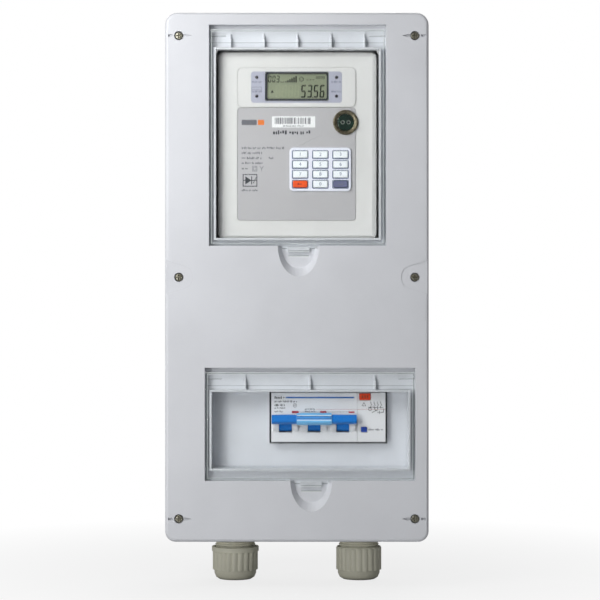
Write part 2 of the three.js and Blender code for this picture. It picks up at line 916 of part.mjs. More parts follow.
function labelPanel() {
  const rear = LABEL.thickness - GAP;
  return cut(
    slab(roundedRect(LABEL.x, LABEL.z, LABEL.width, LABEL.height, LABEL.radius), [0, rear]),
    portHole([-PAST, rear + PAST]),
    keypadOpening([-PAST, rear + PAST]),
  );
}

function displayBezel() {
  const rear = DISPLAY.thickness / 2 - GAP;
  const through = [-2 * DISPLAY.thickness, rear + PAST];
  return cut(
    slab(
      roundedRect(DISPLAY.x, DISPLAY.z, DISPLAY.width, DISPLAY.height, DISPLAY.radius),
      [rear - DISPLAY.thickness, rear],
    ),
    lcdOpening(GAP, GAP, through),
    ...lampHoles(through),
  );
}

function displayLens() {
  return slab(roundedRect(LCD.x, LCD.z, LCD.width, LCD.height, LENS.radius), [LENS.front, LENS.rear]);
}

function lcdModule() {
  return block(
    sideRange(LCD.x, LCD.width),
    [LCD.front, LCD.front + LCD.thickness],
    sideRange(LCD.z, LCD.height),
  );
}

// A lamp with a domed end, along local Y.
function statusLed() {
  const { radius, length, capRadius, capRise, crown } = LED;
  const profile = [
    [0, -length],
    [radius, -length],
    [radius, 0],
    [capRadius, capRise],
    [0, crown],
  ];
  return turned(profile, SMALL_ROUND).rotate([90, 0, 0]);
}

function opticalPortRing() {
  const { radius, height, outerRise, rimRound, rimWidth, innerRise, lensRadius } = PORT;
  const profile = [
    [lensRadius + GAP, 0],
    [radius, 0],
    [radius, outerRise],
    [radius - rimRound, height],
    [radius - rimWidth, height],
    [lensRadius + GAP, innerRise],
    [lensRadius + GAP, 0],
  ];
  return turned(profile).rotate([90, 0, 0]);
}

function opticalPortLens() {
  const { lensRadius, lensDepth, lensEdge, lensRise, rimRound } = PORT;
  const profile = [
    [0, -lensDepth],
    [lensRadius, -lensDepth],
    [lensRadius, lensEdge],
    [lensRadius - rimRound, lensRise],
    [0, lensRise],
  ];
  return turned(profile).rotate([90, 0, 0]);
}

function keypadBezel() {
  const front = -KEYPAD.thickness - GAP;
  return cut(
    edgedSlab(
      roundedRect(KEYPAD.x, KEYPAD.z, KEYPAD.width, KEYPAD.height, KEYPAD.radius),
      [front, -GAP],
      KEYPAD.edgeChamfer,
      'front',
      1,
    ),
    ...keyOpenings(GAP, [front - PAST, PAST]),
  );
}

function keyCap() {
  const { keyWidth, keyHeight, keyRadius, keyDepth, keyBevel } = KEYPAD;
  const geometry = new THREE.ExtrudeGeometry(roundedRect(0, 0, keyWidth, keyHeight, keyRadius), {
    depth: keyDepth - 2 * keyBevel,
    bevelThickness: keyBevel,
    bevelSize: keyBevel,
    bevelOffset: -keyBevel,
    bevelSegments: 1,
    curveSegments: 1,
  });
  geometry.rotateX(Math.PI / 2);
  return solidFrom(geometry);
}

function circuitBoard() {
  const { width, front, rear, aboveSplit, belowTop } = BOARD;
  return block(sideRange(0, width), [front, rear], [METER.coverBottom + aboveSplit, METER_TOP - belowTop]);
}

// A block of terminals: wire ports open below, clamp screws reached from the front.
function terminalBlock() {
  const { count, pitch, width, front, rear, aboveBottom, belowSplit } = TERMINALS;
  const { portRadius, portY, portTop, screwRadius, screwDrop, screwDepth } = TERMINALS;
  const bottom = -METER_TOP;
  const top = METER.coverBottom;
  const places = Array.from({ length: count }, (_, i) => (i - (count - 1) / 2) * pitch);
  return cut(
    block(sideRange(0, width), [front, rear], [bottom + aboveBottom, top - belowSplit]),
    ...places.map((x) => rod('z', [x, portY], portRadius, [bottom, top - portTop], HIDDEN_ROUND)),
    ...places.map((x) => rod('y', [x, top - screwDrop], screwRadius, [0, screwDepth], HIDDEN_ROUND)),
  );
}

function terminalCover() {
  const { width, split, wall, terminalCoverFront: front } = METER;
  const outer = [-METER_TOP, METER.coverBottom - GAP];
  return cut(
    block(sideRange(0, width), [front, split - GAP], outer),
    block(sideRange(0, width - 2 * wall), [front + wall, split], [-METER_TOP - PAST, outer[1] - wall]),
  );
}

function disconnectRelay() {
  const { left, right, front, rear, bottom, top } = RELAY;
  const { tabInset, tabWidth, tabFront, tabRear, tabDrop } = RELAY;
  const tabHeights = [bottom - tabDrop, bottom + PAST];
  const tab = (from) => block([from, from + tabWidth], [tabFront, tabRear], tabHeights);
  return join(
    block([left, right], [front, rear], [bottom, top]),
    tab(left + tabInset),
    tab(right - tabInset - tabWidth),
  );
}

// ---------------------------------------------------------------- breaker, in its own frame

// The stepped side profile that every rail-mounted module shares.
function moduleCase(left, right) {
  const { nose, noseDepth, body, bodyDepth, railSlot, railSlotDepth } = BREAKER;
  const section = polygon([
    [0, -nose / 2],
    [noseDepth, -nose / 2],
    [noseDepth, -body / 2],
    [bodyDepth, -body / 2],
    [bodyDepth, -railSlot / 2],
    [bodyDepth - railSlotDepth, -railSlot / 2],
    [bodyDepth - railSlotDepth, railSlot / 2],
    [bodyDepth, railSlot / 2],
    [bodyDepth, body / 2],
    [noseDepth, body / 2],
    [noseDepth, nose / 2],
    [0, nose / 2],
  ]);
  return barAlongX(section, [left + GAP / 2, right - GAP / 2]);
}

// Clamp screw wells in the shoulders and wire ports in the top and bottom of one module.
function moduleTerminals(x) {
  const { nose, noseDepth, body } = BREAKER;
  const { screwRadius, screwDepth, portWidth, portReach, portFront, portRear } = CLAMP;
  const screwHeight = (nose + body) / 4;
  return SIDES.flatMap((side) => [
    rod('y', [x, side * screwHeight], screwRadius, [noseDepth - PAST, noseDepth + screwDepth], HIDDEN_ROUND),
    block(
      sideRange(x, portWidth),
      [noseDepth + portFront, noseDepth + portRear],
      sideRange(side * body / 2, 2 * portReach),
    ),
  ]);
}

function breakerPole(index) {
  const left = index * BREAKER.poleWidth;
  const middle = left + BREAKER.poleWidth / 2;
  const pivot = [HANDLE.y, HANDLE.z];
  const slot = HANDLE.dollyWidth / 2 + GAP;
  const cheeks = SIDES.map((side) => rod(
    'x',
    pivot,
    HANDLE.cheekRadius,
    ordered(middle + side * slot, middle + side * (slot + HANDLE.cheekWidth)),
  ));
  return cut(
    join(moduleCase(left, left + BREAKER.poleWidth), ...cheeks),
    rod('x', pivot, HANDLE.slotRadius, sideRange(middle, 2 * slot)),
    ...moduleTerminals(middle),
  );
}

function residualCurrentModule() {
  const left = BREAKER.poles * BREAKER.poleWidth;
  const hole = (spec) => block(
    sideRange(left + spec.x, spec.width + 2 * GAP),
    [-PAST, spec.depth + BUTTON.roomBehind],
    sideRange(spec.z, spec.height + 2 * GAP),
  );
  return cut(
    moduleCase(left, left + BREAKER.moduleWidth),
    hole(TEST_BUTTON),
    hole(RESET_BUTTON),
    ...moduleTerminals(left + BREAKER.moduleWidth / 2),
  );
}

function pushButton(spec) {
  const x = BREAKER.poles * BREAKER.poleWidth + spec.x;
  const outline = roundedRect(x, spec.z, spec.width, spec.height, BUTTON.radius);
  return edgedSlab(outline, [-spec.rise, spec.depth], BUTTON.chamfer, 'front', 1, 1);
}

// A toggle in its pivot's frame: -Y points along the lever, which is then turned up to its rest angle.
function breakerToggle() {
  const half = HANDLE.dollyWidth / 2;
  const capHalf = BREAKER.poleWidth / 2 - 2 * GAP;
  const capHeight = 2 * HANDLE.barHalf;
  const capDepth = HANDLE.barTo - HANDLE.barFrom;
  const cap = roundedRect(-(HANDLE.barFrom + HANDLE.barTo) / 2, 0, capDepth, capHeight, HANDLE.barRadius);
  return join(
    rod('x', [0, 0], HANDLE.drumRadius, [-half, half]),
    block([-half, half], [-HANDLE.barFrom - PAST, 0], sideRange(0, HANDLE.dollyThickness)),
    barAlongX(cap, [-capHalf, capHalf]),
  ).rotate([-HANDLE.restAngle, 0, 0]);
}

// The clip that joins the three toggles: a channel over the middle of the bar.
function toggleTie() {
  const half = HANDLE.tieLength / 2;
  const inner = HANDLE.barHalf + GAP;
  const outer = inner + HANDLE.tieWall;
  const front = -HANDLE.barTo - GAP;
  const middle = front - HANDLE.tieWall + HANDLE.tieDepth / 2;
  return cut(
    barAlongX(roundedRect(middle, 0, HANDLE.tieDepth, 2 * outer, HANDLE.tieRadius), [-half, half]),
    block([-half - PAST, half + PAST], [front, 0], [-inner, inner]),
  ).rotate([-HANDLE.restAngle, 0, 0]);
}

// ---------------------------------------------------------------- cable glands, in their own frame

function hexPrism(radius, [bottom, top]) {
  return rod('z', [0, 0], radius, [bottom, top], 6);
}

// Ridges of the outer thread, from the flange down to where the dome nut hides them.
function threadProfile(fromHeight) {
  const { neckRadius, pitch, threadDepth, ridges, crestStart, crestEnd } = GLAND;
  return Array.from({ length: ridges }, (_, i) => {
    const height = fromHeight - i * pitch;
    return [
      [neckRadius - threadDepth, height],
      [neckRadius, height - pitch * crestStart],
      [neckRadius, height - pitch * crestEnd],
    ];
  }).flat();
}

function glandBody() {
  const { threadRadius, threadTop, bore, flangeRadius, flangeHeight, neckBottom, pitch, ridges } = GLAND;
  const rootRadius = GLAND.neckRadius - GLAND.threadDepth;
  const outside = [
    [bore, threadTop],
    [threadRadius, threadTop],
    [threadRadius, -flangeHeight],
    ...threadProfile(-flangeHeight),
    [rootRadius, -flangeHeight - ridges * pitch],
    [rootRadius, neckBottom],
    [bore, neckBottom],
    [bore, threadTop],
  ];
  const flange = cut(
    hexPrism(flangeRadius, [-flangeHeight, -GAP]),
    rod('z', [0, 0], bore + PAST, [-flangeHeight - PAST, PAST]),
  );
  return join(turned([...outside].reverse()), flange);
}

// The fluted grip of the dome nut: a circle with evenly spaced notches.
function flutedOutline() {
  const { nutRadius, flutes, fluteDepth } = GLAND;
  const steps = flutes * FLUTE_STEPS;
  return polygon(Array.from({ length: steps }, (_, i) => {
    const angle = (i / steps) * Math.PI * 2;
    const radius = nutRadius - (i % FLUTE_STEPS === 0 ? fluteDepth : 0);
    return [radius * Math.cos(angle), radius * Math.sin(angle)];
  }));
}

// The turned body of the dome nut: domed below, with a collar or a plain shoulder on top.
function nutCore(gripTop, topRadius) {
  const { nutTop, nutBottom, stepRadius, stepHeight, coreRadius, gripLap, domeRadii, domeHeights } = GLAND;
  const step = nutBottom + stepHeight;
  return turned([
    [0, nutBottom],
    [domeRadii[0], nutBottom],
    [domeRadii[1], nutBottom + domeHeights[0]],
    [stepRadius, nutBottom + domeHeights[1]],
    [stepRadius, step],
    [coreRadius, step],
    [coreRadius, gripTop - gripLap],
    [topRadius, gripTop - gripLap],
    [topRadius, nutTop],
    [0, nutTop],
  ]);
}

// What is hollow in the dome nut: a widened mouth, the threaded bore, the seal seat and the cable hole.
function nutHollow() {
  const { nutTop, nutBottom, nutBore, neckBottom } = GLAND;
  const { sealRadius, sealLip, holeRadius, mouthWidth, mouthDepth } = GLAND;
  const mouth = turned([
    [0, nutTop - mouthDepth],
    [nutBore, nutTop - mouthDepth],
    [nutBore + mouthWidth, nutTop + PAST],
    [0, nutTop + PAST],
  ]);
  return [
    mouth,
    rod('z', [0, 0], nutBore, [neckBottom - GAP, nutTop]),
    rod('z', [0, 0], sealRadius + GAP, [nutBottom + sealLip, nutTop]),
    rod('z', [0, 0], holeRadius, [nutBottom - PAST, nutTop]),
  ];
}

function glandNut(hasCollar) {
  const { nutTop, nutBottom, stepHeight, rimHeight, rimRadius, plainTopHeight, plainTopRadius } = GLAND;
  const step = nutBottom + stepHeight;
  const gripTop = nutTop - (hasCollar ? rimHeight : plainTopHeight);
  const grip = new THREE.ExtrudeGeometry(flutedOutline(), { depth: gripTop - step, bevelEnabled: false });
  grip.translate(0, 0, step);
  const core = nutCore(gripTop, hasCollar ? rimRadius : plainTopRadius);
  return cut(join(core, solidFrom(grip)), ...nutHollow());
}

function glandSeal() {
  const { sealRadius, sealBore, sealLip, sealFlare, neckBottom, nutBottom } = GLAND;
  const bottom = nutBottom + sealLip + GAP;
  return turned([
    [sealBore, bottom],
    [sealRadius, bottom],
    [sealRadius, neckBottom - GAP],
    [sealBore + sealFlare, neckBottom - GAP],
    [sealBore, neckBottom - sealLip],
    [sealBore, bottom],
  ]);
}

function glandLocknut() {
  const bottom = BOX.wall + GAP;
  return cut(
    hexPrism(GLAND.locknutRadius, [bottom, bottom + GLAND.locknutHeight]),
    rod('z', [0, 0], GLAND.threadRadius + GAP, [0, bottom + GLAND.locknutHeight + PAST]),
  );
}

// ---------------------------------------------------------------- materials

const finish = (color, roughness, metalness = 0) => ({ color, roughness, metalness });
const clear = (color, opacity) => ({ color, roughness: 0.08, transparent: true, opacity });

const FINISH = {
  coverPlastic: finish(0xdfe1e6, 0.42),
  housingPlastic: finish(0xcfd2d6, 0.5),
  rubber: finish(0x202224, 0.85),
  screwSteel: finish(0x8d8b80, 0.35, 0.9),
  plateSteel: finish(0xb6babd, 0.45, 0.8),
  railSteel: finish(0xc9c6b4, 0.35, 0.9),
  clearPlastic: clear(0xdfeaea, 0.25),
  meterPlastic: finish(0xe9e9e6, 0.5),
  labelGrey: finish(0xb4b2b3, 0.55),
  lens: clear(0xe8ecee, 0.3),
  lcd: finish(0x9b9d87, 0.3),
  ledRed: finish(0x6d2b22, 0.25),
  portRing: finish(0x6a6154, 0.35, 0.8),
  portLens: finish(0x10231d, 0.12),
  keyFrame: finish(0xdcdde8, 0.45),
  keyWhite: finish(0xf2f2f4, 0.45),
  keyOrange: finish(0xe65a1c, 0.45),
  keySlate: finish(0x5f6480, 0.45),
  board: finish(0x1f5a37, 0.5),
  terminalBlack: finish(0x24262a, 0.55),
  breakerWhite: finish(0xe3e4e6, 0.45),
  toggleBlue: finish(0x1573c4, 0.35),
  tieBlue: finish(0x5da9de, 0.35),
  testOrange: finish(0xd9472b, 0.4),
  resetBlue: finish(0x2f57b4, 0.4),
  glandGrey: finish(0x9b998a, 0.55),
};

// ---------------------------------------------------------------- assembly

function piece(name, solid, look, [x, y, z] = [0, 0, 0]) {
  const mesh = new THREE.Mesh(geometryFrom(solid), new THREE.MeshStandardMaterial(FINISH[look]));
  mesh.name = name;
  mesh.position.set(x, y, z);
  return mesh;
}

function groupAt([x, y, z], pieces) {
  const group = new THREE.Group();
  group.position.set(x, y, z);
  group.add(...pieces);
  return group;
}

function enclosure() {
  const headSeat = ({ z }) => (z === 0 ? FRONT + LOBE.depth : FRONT);
  const screws = SCREW_PLACES.map((place, i) => piece(
    `cover_screw_${i + 1}`,
    coverScrew(),
    'screwSteel',
    [place.x, headSeat(place), place.z],
  ));
  return groupAt([0, 0, 0], [
    piece('rear_housing', rearHousing(), 'housingPlastic'),
    piece('cover_gasket', coverGasket(), 'rubber'),
    piece('front_cover', frontCover(), 'coverPlastic'),
    piece('mounting_plate', mountingPlate(), 'plateSteel'),
    piece('din_rail', dinRail(), 'railSteel'),
    piece('upper_window', clearWindow(UPPER), 'clearPlastic'),
    piece('lower_window', clearWindow(LOWER), 'clearPlastic'),
    ...screws,
  ]);
}

function meter() {
  const keyLooks = { key_cancel: 'keyOrange', key_enter: 'keySlate' };
  const keyRear = KEYPAD.keyDepth - KEYPAD.thickness - GAP - KEYPAD.keyRise - KEYPAD.keyBevel;
  return groupAt([METER.x, METER.face, METER.z], [
    piece('meter_base', meterBase(), 'meterPlastic'),
    piece('meter_cover', meterCover(), 'meterPlastic'),
    piece('meter_label_panel', labelPanel(), 'labelGrey'),
    piece('display_bezel', displayBezel(), 'meterPlastic'),
    piece('display_lens', displayLens(), 'lens'),
    piece('lcd_module', lcdModule(), 'lcd'),
    ...ledPlaces().map(([x, z], i) => piece(`status_led_${i + 1}`, statusLed(), 'ledRed', [x, LED.front, z])),
    piece('optical_port_ring', opticalPortRing(), 'portRing', [PORT.x, -GAP, PORT.z]),
    piece('optical_port_lens', opticalPortLens(), 'portLens', [PORT.x, -GAP, PORT.z]),
    piece('keypad_bezel', keypadBezel(), 'keyFrame'),
    ...keyPlaces().map(
      ({ name, x, z }) => piece(name, keyCap(), keyLooks[name] ?? 'keyWhite', [x, keyRear, z]),
    ),
    piece('meter_circuit_board', circuitBoard(), 'board'),
    piece('terminal_block', terminalBlock(), 'terminalBlack'),
    piece('terminal_cover', terminalCover(), 'meterPlastic'),
    piece('disconnect_relay', disconnectRelay(), 'terminalBlack'),
  ]);
}

function breaker() {
  const indices = Array.from({ length: BREAKER.poles }, (_, i) => i);
  const toggleX = (i) => (i + 0.5) * BREAKER.poleWidth;
  return groupAt([BREAKER.x, BREAKER.face, BREAKER.z], [
    ...indices.map((i) => piece(`breaker_pole_${i + 1}`, breakerPole(i), 'breakerWhite')),
    ...indices.map((i) => piece(
      `breaker_toggle_${i + 1}`,
      breakerToggle(),
      'toggleBlue',
      [toggleX(i), HANDLE.y, HANDLE.z],
    )),
    piece('toggle_tie', toggleTie(), 'tieBlue', [toggleX(1), HANDLE.y, HANDLE.z]),
    piece('residual_current_module', residualCurrentModule(), 'breakerWhite'),
    piece('test_button', pushButton(TEST_BUTTON), 'testOrange'),
    piece('reset_button', pushButton(RESET_BUTTON), 'resetBlue'),
  ]);
}

function gland(side, x, hasRim) {
  return groupAt([x, GLAND.y, -BOX.height / 2], [
    piece(`gland_body_${side}`, glandBody(), 'glandGrey'),
    piece(`gland_nut_${side}`, glandNut(hasRim), 'glandGrey'),
    piece(`gland_seal_${side}`, glandSeal(), 'rubber'),
    piece(`gland_locknut_${side}`, glandLocknut(), 'glandGrey'),
  ]);
}

const model = new THREE.Group();
model.name = 'prepaid_electricity_meter';
model.add(
  enclosure(),
  meter(),
  breaker(),
  gland('left', -GLAND.x, true),
  gland('right', GLAND.x, false),
);

export default model;
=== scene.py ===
"""Looks of the prepaid electricity meter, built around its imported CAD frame.

Lengths in the tables are millimetres and become metres where meshes are made. +Z is up, the front faces -Y.
"""

import json
import math
import random

import bpy
from mathutils import Matrix, Vector


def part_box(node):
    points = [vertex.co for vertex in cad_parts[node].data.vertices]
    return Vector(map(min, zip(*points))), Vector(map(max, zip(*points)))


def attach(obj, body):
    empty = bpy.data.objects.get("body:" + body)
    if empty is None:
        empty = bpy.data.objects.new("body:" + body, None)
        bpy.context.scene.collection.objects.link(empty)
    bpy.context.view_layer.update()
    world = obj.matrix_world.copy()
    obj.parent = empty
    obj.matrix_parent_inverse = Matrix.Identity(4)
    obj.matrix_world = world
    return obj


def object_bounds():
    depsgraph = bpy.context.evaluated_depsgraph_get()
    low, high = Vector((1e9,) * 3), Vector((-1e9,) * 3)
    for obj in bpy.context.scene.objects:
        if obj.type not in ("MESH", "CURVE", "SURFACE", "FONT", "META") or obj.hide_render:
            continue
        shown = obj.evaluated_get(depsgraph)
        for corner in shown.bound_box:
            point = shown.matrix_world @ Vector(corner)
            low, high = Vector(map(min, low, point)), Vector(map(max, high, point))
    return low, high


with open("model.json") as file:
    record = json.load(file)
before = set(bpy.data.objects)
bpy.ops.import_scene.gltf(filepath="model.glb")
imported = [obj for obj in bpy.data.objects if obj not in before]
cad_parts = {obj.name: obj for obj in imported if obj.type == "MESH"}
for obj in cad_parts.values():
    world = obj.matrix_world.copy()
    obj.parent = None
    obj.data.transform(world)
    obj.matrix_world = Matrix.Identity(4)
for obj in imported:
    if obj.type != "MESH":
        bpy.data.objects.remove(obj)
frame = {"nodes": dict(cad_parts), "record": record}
CAD_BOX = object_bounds()
NODES = frame["nodes"]

MM = 0.001
INK = 0.06  # thickness of a printed mark
SUNK = 0.03  # how far a printed mark reaches into its surface
SEED = 20


# ---------------------------------------------------------------- colours


def rgb(red, green, blue):
    """An 8-bit screen colour as the linear colour that shaders use."""
    levels = [value / 255 for value in (red, green, blue)]
    linear = [v / 12.92 if v <= 0.04045 else ((v + 0.055) / 1.055) ** 2.4 for v in levels]
    return (*linear, 1.0)


def scaled(colour, factor):
    return (*(min(1.0, value * factor) for value in colour[:3]), 1.0)


# ---------------------------------------------------------------- material nodes


class Shader:
    """One node material: a Principled shader, object coordinates, and short-hands for more nodes."""

    def __init__(self, name):
        self.material = bpy.data.materials.new(name)
        self.material.use_nodes = True
        self.tree = self.material.node_tree
        self.surface = self.tree.nodes["Principled BSDF"]
        self.place = self.add("ShaderNodeTexCoord").outputs["Object"]

    def add(self, kind, inputs=None, **settings):
        node = self.tree.nodes.new(kind)
        for name, value in settings.items():
            setattr(node, name, value)
        for name, value in (inputs or {}).items():
            self.feed(node.inputs[name], value)
        return node

    def feed(self, socket, value):
        if isinstance(value, bpy.types.NodeSocket):
            self.tree.links.new(value, socket)
        else:
            socket.default_value = value

    def set(self, **inputs):
        for name, value in inputs.items():
            self.feed(self.surface.inputs[name.replace("_", " ")], value)

    def stretched(self, scale):
        """The object coordinates, stretched so that a pattern runs along the axes with small scales."""
        return self.add("ShaderNodeMapping", {"Vector": self.place, "Scale": scale}).outputs["Vector"]

    def noise(self, size, detail=3.0, where=None):
        """Soft noise whose lumps are about size millimetres across."""
        inputs = {"Vector": where or self.place, "Scale": 1 / (size * MM), "Detail": detail}
        return self.add("ShaderNodeTexNoise", inputs).outputs["Fac"]

    def remap(self, value, low, high, start=0.3, end=0.7):
        inputs = {"Value": value, "From Min": start, "From Max": end, "To Min": low, "To Max": high}
        return self.add("ShaderNodeMapRange", inputs).outputs["Result"]

    def product(self, first, second):
        return self.add("ShaderNodeMath", {0: first, 1: second}, operation="MULTIPLY").outputs[0]

    def mixed(self, factor, first, second):
        node = self.add("ShaderNodeMix", data_type="RGBA")
        for index, value in ((0, factor), (6, first), (7, second)):
            self.feed(node.inputs[index], value)
        return node.outputs[2]

    def raised(self, height, distance, strength=1.0, under=None):
        """A normal from a height pattern, distance in millimetres."""
        inputs = {"Height": height, "Distance": distance * MM, "Strength": strength}
        if under is not None:
            inputs["Normal"] = under
        return self.add("ShaderNodeBump", inputs).outputs["Normal"]

    def edges(self, width):
        """1 where an edge is about width millimetres away, 0 on open faces."""
        rounded = self.add("ShaderNodeBevel", {"Radius": width * MM}, samples=4).outputs["Normal"]
        true = self.add("ShaderNodeNewGeometry").outputs["Normal"]
        lean = self.add("ShaderNodeVectorMath", {0: rounded, 1: true}, operation="DOT_PRODUCT")
        return self.remap(lean.outputs["Value"], 1.0, 0.0, 0.75, 0.98)

    def corners(self, reach):
        """1 deep in a corner or groove, 0 in the open, within reach millimetres."""
        node = self.add("ShaderNodeAmbientOcclusion", {"Distance": reach * MM}, samples=8)
        return self.remap(node.outputs["AO"], 1.0, 0.0, 0.25, 0.85)


FLOW_PATCH = 70  # width of the faint colour patches in moulded plastic
# colour of the grime and painted shade that darken the corners of moulded plastic
GRIME_AND_SHADE = rgb(96, 96, 90)


def moulded(name, colour, roughness, grain=0.5, relief=0.012, mottle=0.035, worn=0.0, grime_and_shade=0.0):
    """Moulded plastic: spark-eroded grain, flow patches, finger smudges, and, when asked, worn edges and
    corners darkened by grime and painted shade.
    """
    s = Shader(name)
    patch = s.remap(s.noise(FLOW_PATCH, 4), 0.0, 1.0)
    shade = s.mixed(patch, scaled(colour, 1 - mottle), scaled(colour, 1 + mottle))
    speckle = s.remap(s.noise(grain * 1.7, 2), 0.0, 1.0)
    shade = s.mixed(s.product(speckle, 0.06), shade, scaled(colour, 0.55))
    smudge = s.noise(18, 5)
    rough = s.remap(smudge, roughness - 0.06, roughness + 0.08)
    if worn:
        rub = s.product(s.edges(0.5), s.remap(s.noise(3, 4), 0.2, 1.0))
        shade = s.mixed(s.product(rub, worn), shade, scaled(colour, 1.35))
    if grime_and_shade:
        # grime mixed with painted shade: corners, grooves and gaps, where shade falls, are darkened in
        # patches
        dust_and_shade = s.product(s.corners(4), s.remap(s.noise(7, 4), 0.5, 1.0))
        shade = s.mixed(s.product(dust_and_shade, grime_and_shade), shade, GRIME_AND_SHADE)
    fine = s.raised(s.noise(grain, 2), relief)
    normal = s.raised(s.noise(26, 2), 0.05, 0.35, fine)
    s.set(Base_Color=shade, Roughness=rough, Normal=normal)
    return s.material


def printed(name, colour, roughness=0.55, fade=0.1):
    """Screen-printed ink: slightly uneven in colour and sheen."""
    s = Shader(name)
    wear = s.remap(s.noise(1.2, 4), 0.0, 1.0)
    s.set(
        Base_Color=s.mixed(wear, scaled(colour, 1 - fade), scaled(colour, 1 + fade)),
        Roughness=s.remap(s.noise(3, 3), roughness - 0.08, roughness + 0.08),
        Normal=s.raised(s.noise(0.3, 2), 0.006),
    )
    return s.material


def metal(name, colour, tarnish, roughness, stretch=(1, 1, 1), grain=0.35):
    """Bare or plated metal: brushed along the axes with small stretch values, and tarnished in patches."""
    s = Shader(name)
    brushed = s.noise(grain, 4, s.stretched(stretch))
    spots = s.product(s.remap(s.noise(2.2, 5), 0.0, 1.0), 0.7)
    shade = s.mixed(spots, colour, tarnish)
    shade = s.mixed(s.product(s.corners(1.2), 0.8), shade, scaled(tarnish, 0.45))
    s.set(
        Base_Color=shade,
        Metallic=0.9,
        Roughness=s.remap(brushed, roughness - 0.08, roughness + 0.14),
        Normal=s.raised(brushed, 0.02),
    )
    return s.material


def turned_metal(name, colour, tarnish, centre, roughness):
    """A turned ring: fine concentric tool marks about a centre line along Y."""
    s = Shader(name)
    moved = s.add("ShaderNodeMapping", {"Vector": s.place, "Location": [-value for value in centre]})
    grooves = s.add(
        "ShaderNodeTexWave",
        {"Vector": moved.outputs["Vector"], "Scale": 0.35 / MM, "Distortion": 1.2, "Detail": 2.0},
        wave_type="RINGS",
        rings_direction="Y",
    ).outputs["Fac"]
    stain = s.remap(s.noise(1.6, 5), 0.0, 1.0)
    s.set(
        Base_Color=s.mixed(stain, colour, tarnish),
        Metallic=0.85,
        Roughness=s.remap(grooves, roughness - 0.05, roughness + 0.15, 0.0, 1.0),
        Normal=s.raised(grooves, 0.05, 0.8, s.raised(s.noise(0.5, 3), 0.03)),
    )
    return s.material


LAMP_SHARE = 0.985  # of the light going straight through, what one surface of clear plastic lets pass
STRAIGHT_SHARE = 0.7  # of the rays that aren't from lamps, how many go straight through unbent
PLASTIC_IOR = 1.49


def clear(name, tint, roughness, scratches):
    """Clear moulded plastic that lamps shine through, with faint smears and hairline scratches."""
    s = Shader(name)
    smear = s.noise(30, 5, s.stretched((1.0, 1.0, 0.35)))
    hairs = s.noise(0.8, 2, s.stretched((0.05, 1.0, 1.0)))
    s.set(
        Base_Color=s.mixed(s.remap(s.noise(60, 3), 0.0, 1.0), tint, scaled(tint, 0.985)),
        Roughness=s.remap(smear, roughness * 0.4, roughness * 1.8),
        Normal=s.raised(s.remap(hairs, 0.0, 1.0, 0.55, 0.75), scratches, 0.5),
    )
    s.surface.inputs["Transmission Weight"].default_value = 1.0
    s.surface.inputs["IOR"].default_value = PLASTIC_IOR
    through = s.add("ShaderNodeBsdfTransparent", {"Color": scaled(tint, LAMP_SHARE)})
    lamp_ray = s.add("ShaderNodeLightPath").outputs["Is Shadow Ray"]
    straight = s.remap(lamp_ray, STRAIGHT_SHARE, 1.0, 0.0, 1.0)
    both = s.add("ShaderNodeMixShader", {0: straight, 1: s.surface.outputs[0], 2: through.outputs[0]})
    s.tree.links.new(both.outputs[0], s.tree.nodes["Material Output"].inputs["Surface"])
    return s.material


def glossy_dark(name, colour, roughness):
    """Dark tinted glass or a lamp lens: a smooth coat over a mottled body."""
    s = Shader(name)
    cloud = s.remap(s.noise(2.5, 4), 0.0, 1.0)
    s.set(
        Base_Color=s.mixed(cloud, scaled(colour, 0.7), scaled(colour, 1.25)),
        Roughness=s.remap(s.noise(1.5, 3), roughness * 0.6, roughness * 1.5),
        Normal=s.raised(s.noise(4, 2), 0.02, 0.4),
    )
    s.surface.inputs["Coat Weight"].default_value = 0.8
    s.surface.inputs["Coat Roughness"].default_value = 0.04
    return s.material


def lcd_back():
    """The liquid-crystal cell behind its lens: olive grey with a fine weave, and painted shade that darkens
    it towards the edges.
    """
    s = Shader("lcd_back")
    sheen = s.remap(s.noise(24, 2), 0.0, 1.0)
    weave = s.noise(0.25, 1, s.stretched((1.0, 1.0, 3.0)))
    colour = s.mixed(sheen, rgb(164, 167, 143), rgb(176, 178, 154))
    s.set(
        # painted shade: darker near the edges and corners of the cell, where the bezel shades it
        Base_Color=s.mixed(s.product(s.corners(5), 0.5), colour, rgb(110, 112, 96)),
        Roughness=s.remap(weave, 0.28, 0.42),
        Normal=s.raised(weave, 0.004),
    )
    return s.material


def circuit_board():
    """Green solder mask with lighter copper tracks under it."""
    s = Shader("circuit_board")
    cells = s.add("ShaderNodeTexVoronoi", {"Vector": s.place, "Scale": 0.16 / MM}, distance="MANHATTAN")
    tracks = s.remap(cells.outputs["Distance"], 0.0, 1.0, 0.28, 0.36)
    s.set(
        Base_Color=s.mixed(tracks, rgb(24, 84, 52), rgb(44, 116, 70)),
        Roughness=s.remap(s.noise(5, 3), 0.3, 0.5),
        Normal=s.raised(tracks, 0.03),
    )
    return s.material


def node_centre(name):
    low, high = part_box(name)
    return (low + high) / 2
